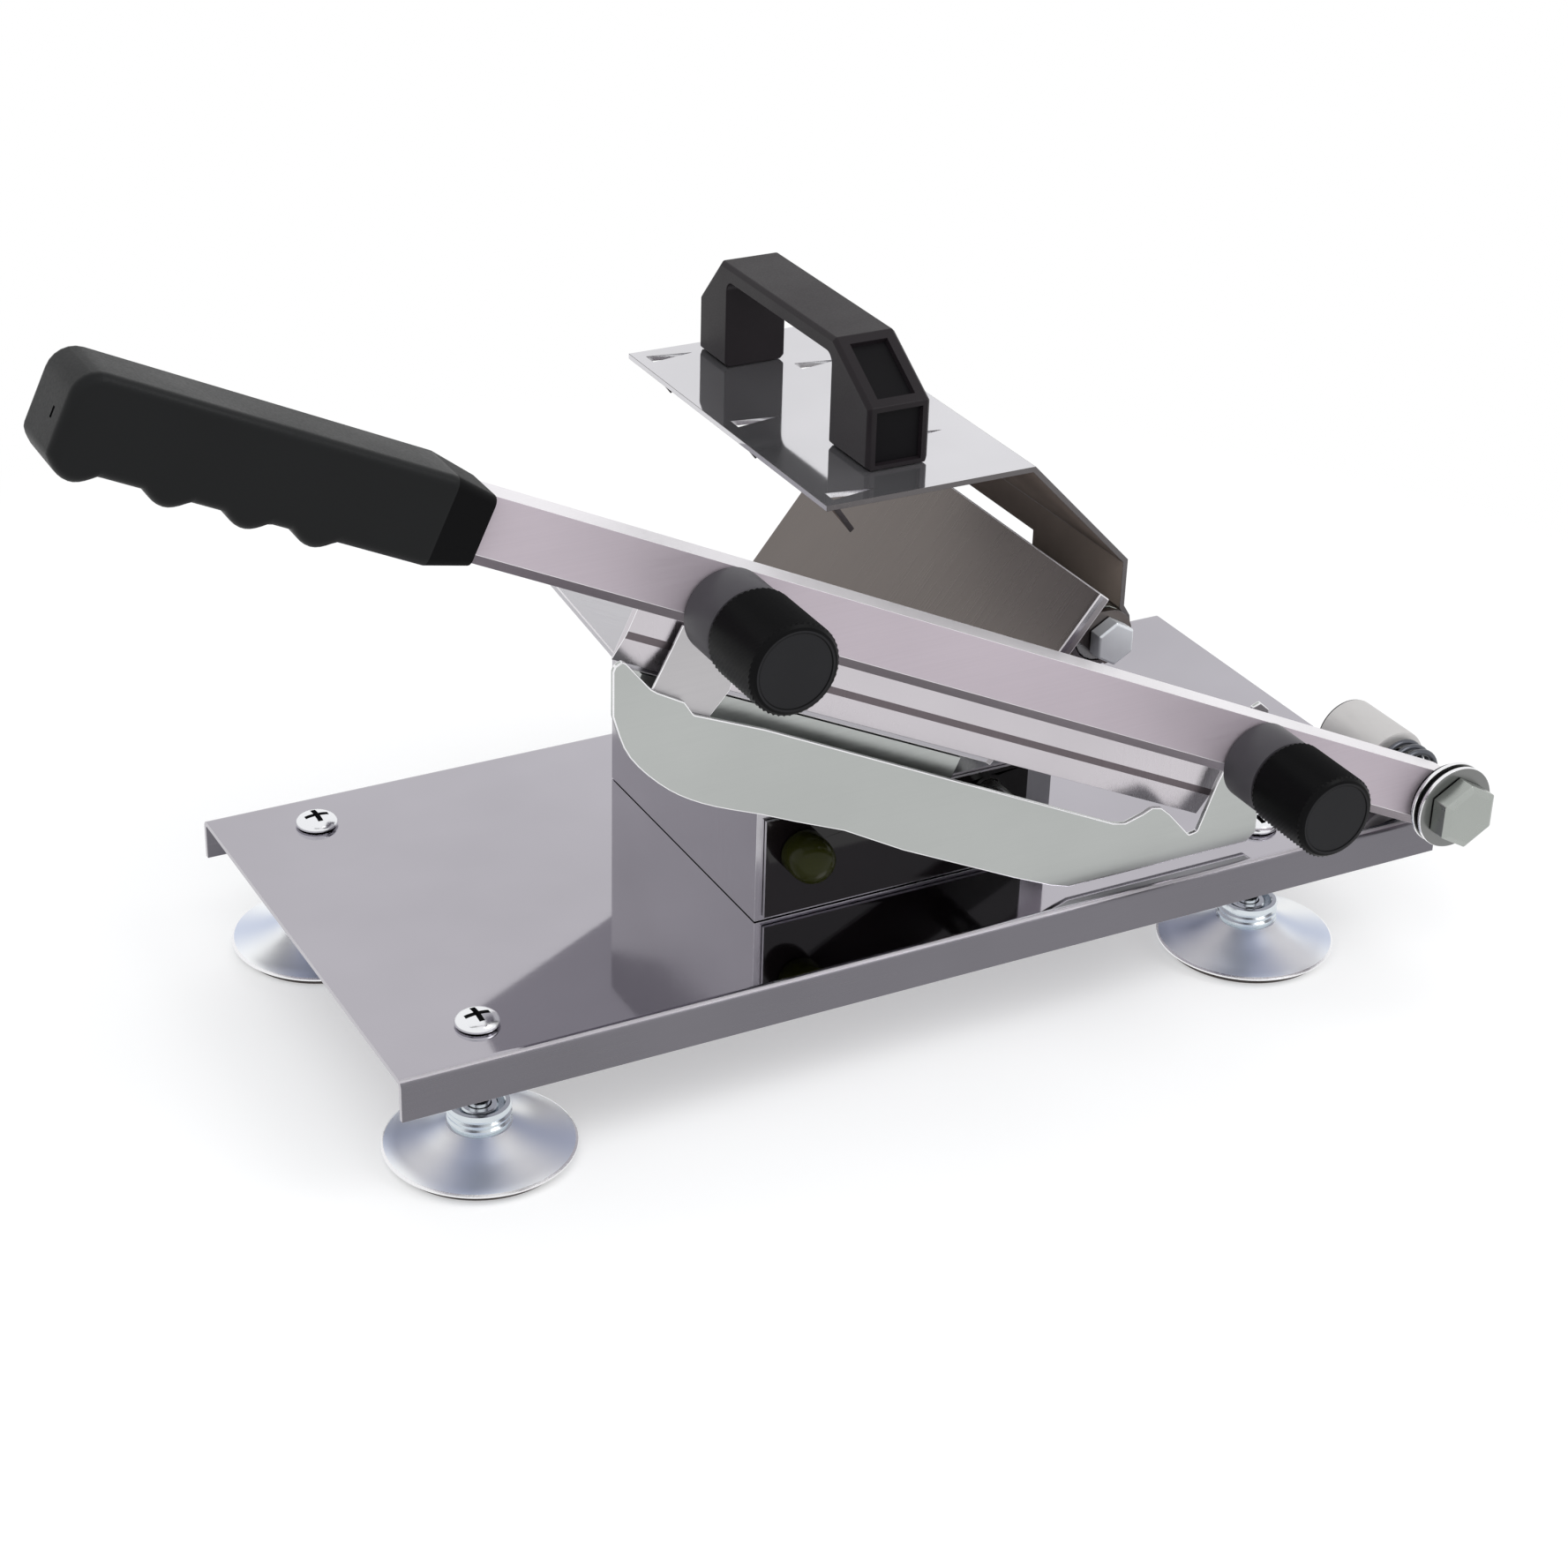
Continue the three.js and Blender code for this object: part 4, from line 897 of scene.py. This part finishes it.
def knurled_knob():
    """A blade knob in the arm's frame: a finely knurled barrel between chamfered ends."""
    back = ARM_FRONT - 2 * PLAY - SLEEVE_LENGTH
    front = back - KNOB_LENGTH
    low = KNOB_RADIUS - KNURL_DEPTH
    start, end = front + 1.3, back - 1.3
    rows, sides = 28, 96
    pitch = (end - start) / rows
    steps = [(low - 1.3, front), (low - 0.6, front + 0.25), (low - 0.05, front + 0.9)]
    steps += [(low, start + i * pitch) for i in range(rows + 1)]
    steps += [(low - 0.2, back - 0.6), (low - 0.9, back)]
    piece = turned("knurled_knob", steps, sides=sides)
    open_mesh(piece)

    def raised(place):
        along = (place.y / MM - start) / pitch
        row = round(along)
        if abs(along - row) > 0.2 or row < 0 or row > rows:
            return False
        if math.hypot(place.x, place.z) < (low - 0.05) * MM:
            return False
        column = round(math.atan2(place.z, place.x) / (2 * math.pi) * sides)
        return (row + column) % 2 == 0

    pick_points(piece, raised)
    ratio = KNOB_RADIUS / low
    bpy.ops.transform.resize(value=(ratio, 1, ratio), center_override=(0, 0, 0))
    pick_faces(piece, lambda middle, normal: normal.y < -0.95)
    bpy.ops.mesh.inset(thickness=0.5 * MM, depth=0)
    bpy.ops.mesh.inset(thickness=0.3 * MM, depth=-0.2 * MM)
    close_mesh()
    coat(piece, "knob face")
    # The front face is painted lighter than the black barrel, as painted light.
    rim = (low - 1.2) * MM
    paint_faces(
        piece, 1, lambda middle, normal: normal.y < -0.95 and math.hypot(middle.x, middle.z) < rim
    )
    smooth(piece, 12)
    return piece


def knobs():
    knob = knurled_knob()
    back = ARM_FRONT - PLAY
    front = back - SLEEVE_LENGTH
    radius, hole = SLEEVE_RADIUS, 2.8
    sleeve = turned(
        "knob_sleeve",
        [
            (hole, front), (radius - 0.8, front), (radius - 0.3, front + 0.2),
            (radius, front + 0.7), (radius, back - 0.5), (radius - 0.4, back),
            (hole, back), (hole, front),
        ],
        ring=True,
    )
    coat(sleeve, "sleeve")
    smooth(sleeve, 34)
    for side, x in KNOBS.items():
        piece = on_arm(copy_of(knob, f"blade_knob_{side}_finished", (x, 0, KNOB_DROP)))
        dress(piece, f"{side}_knob", "knob_plastic", f"blade_knob_{side}")
        piece = on_arm(copy_of(sleeve, f"knob_sleeve_{side}_finished", (x, 0, KNOB_DROP)))
        dress(piece, "arm", "knob_plastic", f"knob_sleeve_{side}")
    bpy.data.objects.remove(knob)
    bpy.data.objects.remove(sleeve)


def thickness_knob():
    """The domed knob before the panel, dark with an olive tint painted as a reflection."""
    back = PANEL_FRONT - 2 * PLAY
    front = back - DIAL_LENGTH
    radius = DIAL_RADIUS
    piece = turned(
        "thickness_knob_finished",
        [
            (0.6, front), (2.4, front + 0.25), (4.2, front + 1.0), (5.5, front + 2.1),
            (radius - 0.3, front + 3.6), (radius, front + 5.4), (radius, back - 0.5),
            (radius - 0.3, back),
        ],
        sides=72,
    )
    # The olive tint of the dial finish is painted reflection.
    coat(piece, "dial")
    smooth(piece, 50)
    x, z = DIAL_PLACE
    dress(move_to(piece, at(x, 0, z)), "adjuster", "knob_plastic", "thickness_knob")


# Rod, handle, grip and blade

def rod_pieces():
    """The rod of the press and the bolt at each of its ends."""
    low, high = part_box("press_rod")
    axis = Vector(((low.x + high.x) / 2, 0, (low.z + high.z) / 2))
    front, back = low.y / MM, high.y / MM
    radius, ease = ROD_RADIUS, 0.5
    rod = turned(
        "press_rod_finished",
        [(radius - ease, front), (radius, front + ease), (radius, back - ease), (radius - ease, back)],
        sides=64,
    )
    coat(rod, "chrome")
    smooth(rod)
    dress(move_to(rod, axis), "frame", "bright_steel", "press_rod")
    bolt = rod_bolt()
    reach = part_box("rod_bolt_front")[0].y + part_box("rod_bolt_rear")[1].y
    for side, turn, shift in (("front", 0, 0), ("rear", math.pi, reach)):
        piece = copy_of(bolt, f"rod_bolt_{side}_finished", (0, 0, 0))
        piece.rotation_euler = (0, 0, turn)
        move_to(piece, axis + Vector((0, shift, 0)))
        dress(piece, "frame", "bolt_steel", f"rod_bolt_{side}")
    bpy.data.objects.remove(bolt)


def rod_bolt():
    """The front bolt of the rod, its axis through the origin."""
    low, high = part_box("rod_bolt_front")
    flats, height = ROD_HEX
    front, back = low.y / MM, high.y / MM
    neck = front + height
    head = hex_head("rod_bolt", flats, front, neck, ROD_CHAMFER)
    shank = turned("shank", [(2.95, neck - 0.5), (2.95, back - 0.4), (2.5, back)], sides=32)
    bolt = joined(head, shank)
    coat(bolt, "pale")
    ease_edges(bolt, 0.2)
    smooth_flats(bolt)
    return bolt


def press_handle():
    """The bridge handle, with a sunk panel in its front slope and its front leg, each painted darker
    as shade.
    """
    piece = copy_of_node("press_handle", "press_handle_finished")
    coat(piece, "black well")
    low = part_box("press_handle")[0]
    open_mesh(piece)
    pick_edges(piece, lambda a, b: max(a.z, b.z) > low.z + 0.1 * MM)
    bpy.ops.mesh.bevel(offset=0.3 * MM, segments=2, affect="EDGES")
    close_mesh()
    for rim, test in (
        (2.4, lambda middle, normal: 0.4 < -normal.y < 0.95 and normal.z > 0.4),
        (1.1, lambda middle, normal: normal.y < -0.98 and middle.y < low.y + 2 * MM),
    ):
        open_mesh(piece)
        pick_faces(piece, test)
        shape = bmesh.from_edit_mesh(piece.data)
        chosen = [face for face in shape.faces if face.select]
        largest = max(face.calc_area() for face in chosen)
        for face in chosen:
            face.select_set(face.calc_area() >= largest * 0.9)
        bmesh.update_edit_mesh(piece.data)
        bpy.ops.mesh.inset(thickness=rim * MM, depth=0)
        bpy.ops.mesh.inset(thickness=0.3 * MM, depth=-1.3 * MM)
        # The sunk panel gets the darker well finish as painted shade.
        piece.active_material_index = 1
        bpy.ops.object.material_slot_assign()
        close_mesh()
    smooth_flats(piece)
    dress(piece, "press", "black_plastic", "press_handle")


def swell(along):
    """How far the fingers' side stands out at a place along the arm."""
    near = min(abs(along - middle) for middle in SWELLS)
    return SWELL_DEPTH * math.cos(math.pi * near / SWELL_WIDTH) if near < SWELL_WIDTH / 2 else 0.0


def handle_grip():
    """The arm's grip: a rounded bar, a tapered collar and four finger swells below."""
    centre = (ARM_FRONT + ARM_BACK) / 2
    piece = block(
        "handle_grip_finished",
        (-GRIP_TIP, centre - GRIP_HALF, GRIP_BELLY),
        (-GRIP_START, centre + GRIP_HALF, GRIP_TOP),
    )
    tiny = 1e-6
    end, start = -GRIP_TIP * MM + tiny, -GRIP_START * MM - tiny
    side = GRIP_HALF * MM - tiny

    def upper_end(a, b):
        return max(a.x, b.x) < end and min(a.z, b.z) > (GRIP_TOP - 1) * MM

    def lower_end(a, b):
        return max(a.x, b.x) < end and abs(a.y - b.y) > GRIP_HALF * MM and a.z < (GRIP_BELLY + 2) * MM

    def along_sides(a, b):
        outside = min(abs(a.y - centre * MM), abs(b.y - centre * MM)) > side
        at_arm = max(a.x, b.x) > start and abs(a.x - b.x) < tiny
        return outside and abs(a.y - b.y) < tiny and not at_arm

    open_mesh(piece)
    for edges, radius, segments in (
        (upper_end, 6.5, 6),
        (lower_end, 2.8, 4),
        (along_sides, 2.6, 4),
    ):
        pick_edges(piece, edges)
        bpy.ops.mesh.bevel(offset=radius * MM, segments=segments, affect="EDGES")
    cuts, pitch = 78, 1.15
    for i in range(cuts):
        bpy.ops.mesh.select_all(action="SELECT")
        bpy.ops.mesh.bisect(
            plane_co=(-(GRIP_START + COLLAR + pitch * i) * MM, 0, 0), plane_no=(1, 0, 0)
        )
    bpy.ops.mesh.select_all(action="SELECT")
    bpy.ops.mesh.remove_doubles(threshold=tiny)
    belly = (GRIP_BELLY + 3.5) * MM
    shape = bmesh.from_edit_mesh(piece.data)
    stations = {round(point.co.x / MM, 2) for point in shape.verts if point.co.z < belly}
    for station in sorted(stations):
        depth = swell(-station)
        if depth > 0:
            pick_points(
                piece, lambda place: abs(place.x / MM - station) < 0.006 and place.z < belly
            )
            bpy.ops.transform.translate(value=(0, 0, -depth * MM))
    pick_points(piece, lambda place: place.x > start - 0.1 * MM)
    bpy.ops.transform.resize(
        value=(1, 0.82, 0.79), center_override=(-GRIP_START * MM, centre * MM, -1 * MM)
    )
    close_mesh()
    coat(piece, "grip collar")
    slit_low = (-GRIP_TIP - 1, centre - 4.2, -3.6)
    slit_high = (-GRIP_TIP + 2, centre - 3.2, -1.0)
    cut_away(piece, block("slit", slit_low, slit_high))
    collar = (-GRIP_START - COLLAR + 0.5) * MM
    paint_faces(piece, 1, lambda middle, normal: middle.x > collar)
    smooth_flats(piece, 30)
    dress(on_arm(piece), "arm", "black_plastic", "handle_grip")


def blade():
    """The blade, with a dark band painted as the reflection at the start of its ground edge."""
    piece = copy_of_node("blade", "blade_finished")
    coat(piece, "blade band bright")
    up = Vector((math.sin(ARM_PITCH), 0, math.cos(ARM_PITCH)))
    axis = at(PIVOT[0], 0, PIVOT[1])
    low, high = BLADE_REFLECTION_BAND
    open_mesh(piece)
    for height in BLADE_REFLECTION_BAND:
        bpy.ops.mesh.select_all(action="SELECT")
        bpy.ops.mesh.bisect(plane_co=axis + up * height * MM, plane_no=up)
    close_mesh()

    def in_reflection_band(middle, normal):
        height = (middle - axis).dot(up) / MM
        return normal.y < -0.5 and low < height < high

    # Painted reflection: the band's faces take the darker band finish.
    paint_faces(piece, 1, in_reflection_band)
    # The eased edges take the bright finish, a painted highlight.
    ease_edges(piece, 0.12, segments=1, edge=2)
    smooth_flats(piece, 20)
    dress(piece, "arm", "blade_steel", "blade")


# Camera, surround, floor and lamps

def camera():
    """The photograph's camera, turned by its azimuth, elevation and roll."""
    azimuth, elevation, roll = (math.radians(angle) for angle in CAMERA_ANGLES)
    back = Vector(
        (
            math.sin(azimuth) * math.cos(elevation),
            -math.cos(azimuth) * math.cos(elevation),
            math.sin(elevation),
        )
    )
    right = (-back).cross(Vector((0, 0, 1))).normalized()
    up = right.cross(-back)
    turn_right = right * math.cos(roll) + up * math.sin(roll)
    turn_up = up * math.cos(roll) - right * math.sin(roll)
    data = bpy.data.cameras.new("photo_camera")
    data.sensor_width = 36
    data.lens = FOCAL_LENGTH / PHOTO_WIDTH * data.sensor_width
    data.clip_start = 0.05
    data.clip_end = 20
    eye = bpy.data.objects.new("photo_camera", data)
    bpy.context.collection.objects.link(eye)
    pose = Matrix((turn_right, turn_up, back)).transposed().to_4x4()
    pose.translation = at(*CAMERA_TARGET) + back * CAMERA_DISTANCE * MM
    eye.matrix_world = pose
    bpy.context.scene.camera = eye


def lamp(name, place, size, power, mirrored=False, aim=(0, 0, 60)):
    """An area lamp, which the polished pieces show only if it is mirrored."""
    data = bpy.data.lights.new(name, "AREA")
    data.shape = "RECTANGLE"
    data.size, data.size_y = size
    data.energy = power
    light = bpy.data.objects.new(name, data)
    bpy.context.collection.objects.link(light)
    light.location = at(*place)
    light.rotation_euler = (at(*aim) - light.location).to_track_quat("-Z", "Y").to_euler()
    light.visible_glossy = mirrored


def surround():
    """A white surround, which lights the slicer more dimly than it looks."""
    world = bpy.data.worlds.new("studio")
    bpy.context.scene.world = world
    world.use_nodes = True
    nodes, links = world.node_tree.nodes, world.node_tree.links
    sky = nodes["Background"]
    sky.inputs["Color"].default_value = (0.95, 0.97, 1, 1)
    sky.inputs["Strength"].default_value = 0.6
    white = nodes.new("ShaderNodeBackground")
    white.inputs["Color"].default_value = (1, 1, 1, 1)
    white.inputs["Strength"].default_value = 1.0
    path = nodes.new("ShaderNodeLightPath")
    seen = nodes.new("ShaderNodeMath")
    seen.operation = "MAXIMUM"
    seen_all = nodes.new("ShaderNodeMath")
    seen_all.operation = "MAXIMUM"
    links.new(path.outputs["Is Camera Ray"], seen.inputs[0])
    links.new(path.outputs["Is Glossy Ray"], seen.inputs[1])
    links.new(seen.outputs[0], seen_all.inputs[0])
    links.new(path.outputs["Is Transmission Ray"], seen_all.inputs[1])
    choose = nodes.new("ShaderNodeMixShader")
    links.new(seen_all.outputs[0], choose.inputs[0])
    links.new(sky.outputs[0], choose.inputs[1])
    links.new(white.outputs[0], choose.inputs[2])
    links.new(choose.outputs[0], nodes["World Output"].inputs["Surface"])


def studio_floor():
    """A plain pale floor that takes soft shadows and turns white away from the slicer."""
    clear_selection()
    bpy.ops.mesh.primitive_plane_add(size=6, location=(0, 0, -0.0002))
    floor = settle("studio_floor")
    material = bpy.data.materials.new("pale_floor")
    material.use_nodes = True
    tree = material.node_tree
    shader = tree.nodes["Principled BSDF"]
    shader.inputs["Base Color"].default_value = (0.9, 0.9, 0.9, 1)
    shader.inputs["Roughness"].default_value = 0.9
    shader.inputs["Specular IOR Level"].default_value = 0.1
    glow = tree.nodes.new("ShaderNodeEmission")
    glow.inputs["Color"].default_value = (1, 1, 1, 1)
    glow.inputs["Strength"].default_value = 1.0
    where = tree.nodes.new("ShaderNodeTexCoord")
    length = tree.nodes.new("ShaderNodeVectorMath")
    length.operation = "LENGTH"
    fade = tree.nodes.new("ShaderNodeMapRange")
    fade.inputs["From Min"].default_value = 0.1
    fade.inputs["From Max"].default_value = 0.45
    fade.inputs["To Min"].default_value = 0.35
    fade.inputs["To Max"].default_value = 1.0
    seen_in = tree.nodes.new("ShaderNodeLightPath")
    share = tree.nodes.new("ShaderNodeMath")
    share.operation = "MAXIMUM"
    mix = tree.nodes.new("ShaderNodeMixShader")
    tree.links.new(where.outputs["Object"], length.inputs[0])
    tree.links.new(length.outputs["Value"], fade.inputs["Value"])
    tree.links.new(fade.outputs["Result"], share.inputs[0])
    tree.links.new(seen_in.outputs["Is Glossy Ray"], share.inputs[1])
    tree.links.new(share.outputs[0], mix.inputs[0])
    tree.links.new(shader.outputs[0], mix.inputs[1])
    tree.links.new(glow.outputs[0], mix.inputs[2])
    tree.links.new(mix.outputs[0], tree.nodes["Material Output"].inputs["Surface"])
    floor.data.materials.append(material)


def studio():
    bpy.context.scene.view_settings.view_transform = "Standard"
    surround()
    studio_floor()
    lamp("key", (-500, -500, 900), (0.9, 0.9), 7)
    lamp("fill", (700, -500, 500), (0.9, 0.6), 3)
    lamp("back", (200, 800, 700), (1.0, 0.6), 4)
    lamp("edge", (520, -600, 950), (0.5, 0.5), 2.4, mirrored=True)


camera()
studio()
base_plate()
meat_tray()
press_plate()
label_panel()
feet()
pivot_pieces()
knobs()
thickness_knob()
rod_pieces()
press_handle()
handle_grip()
blade()
arm_bar()
plain_copies()
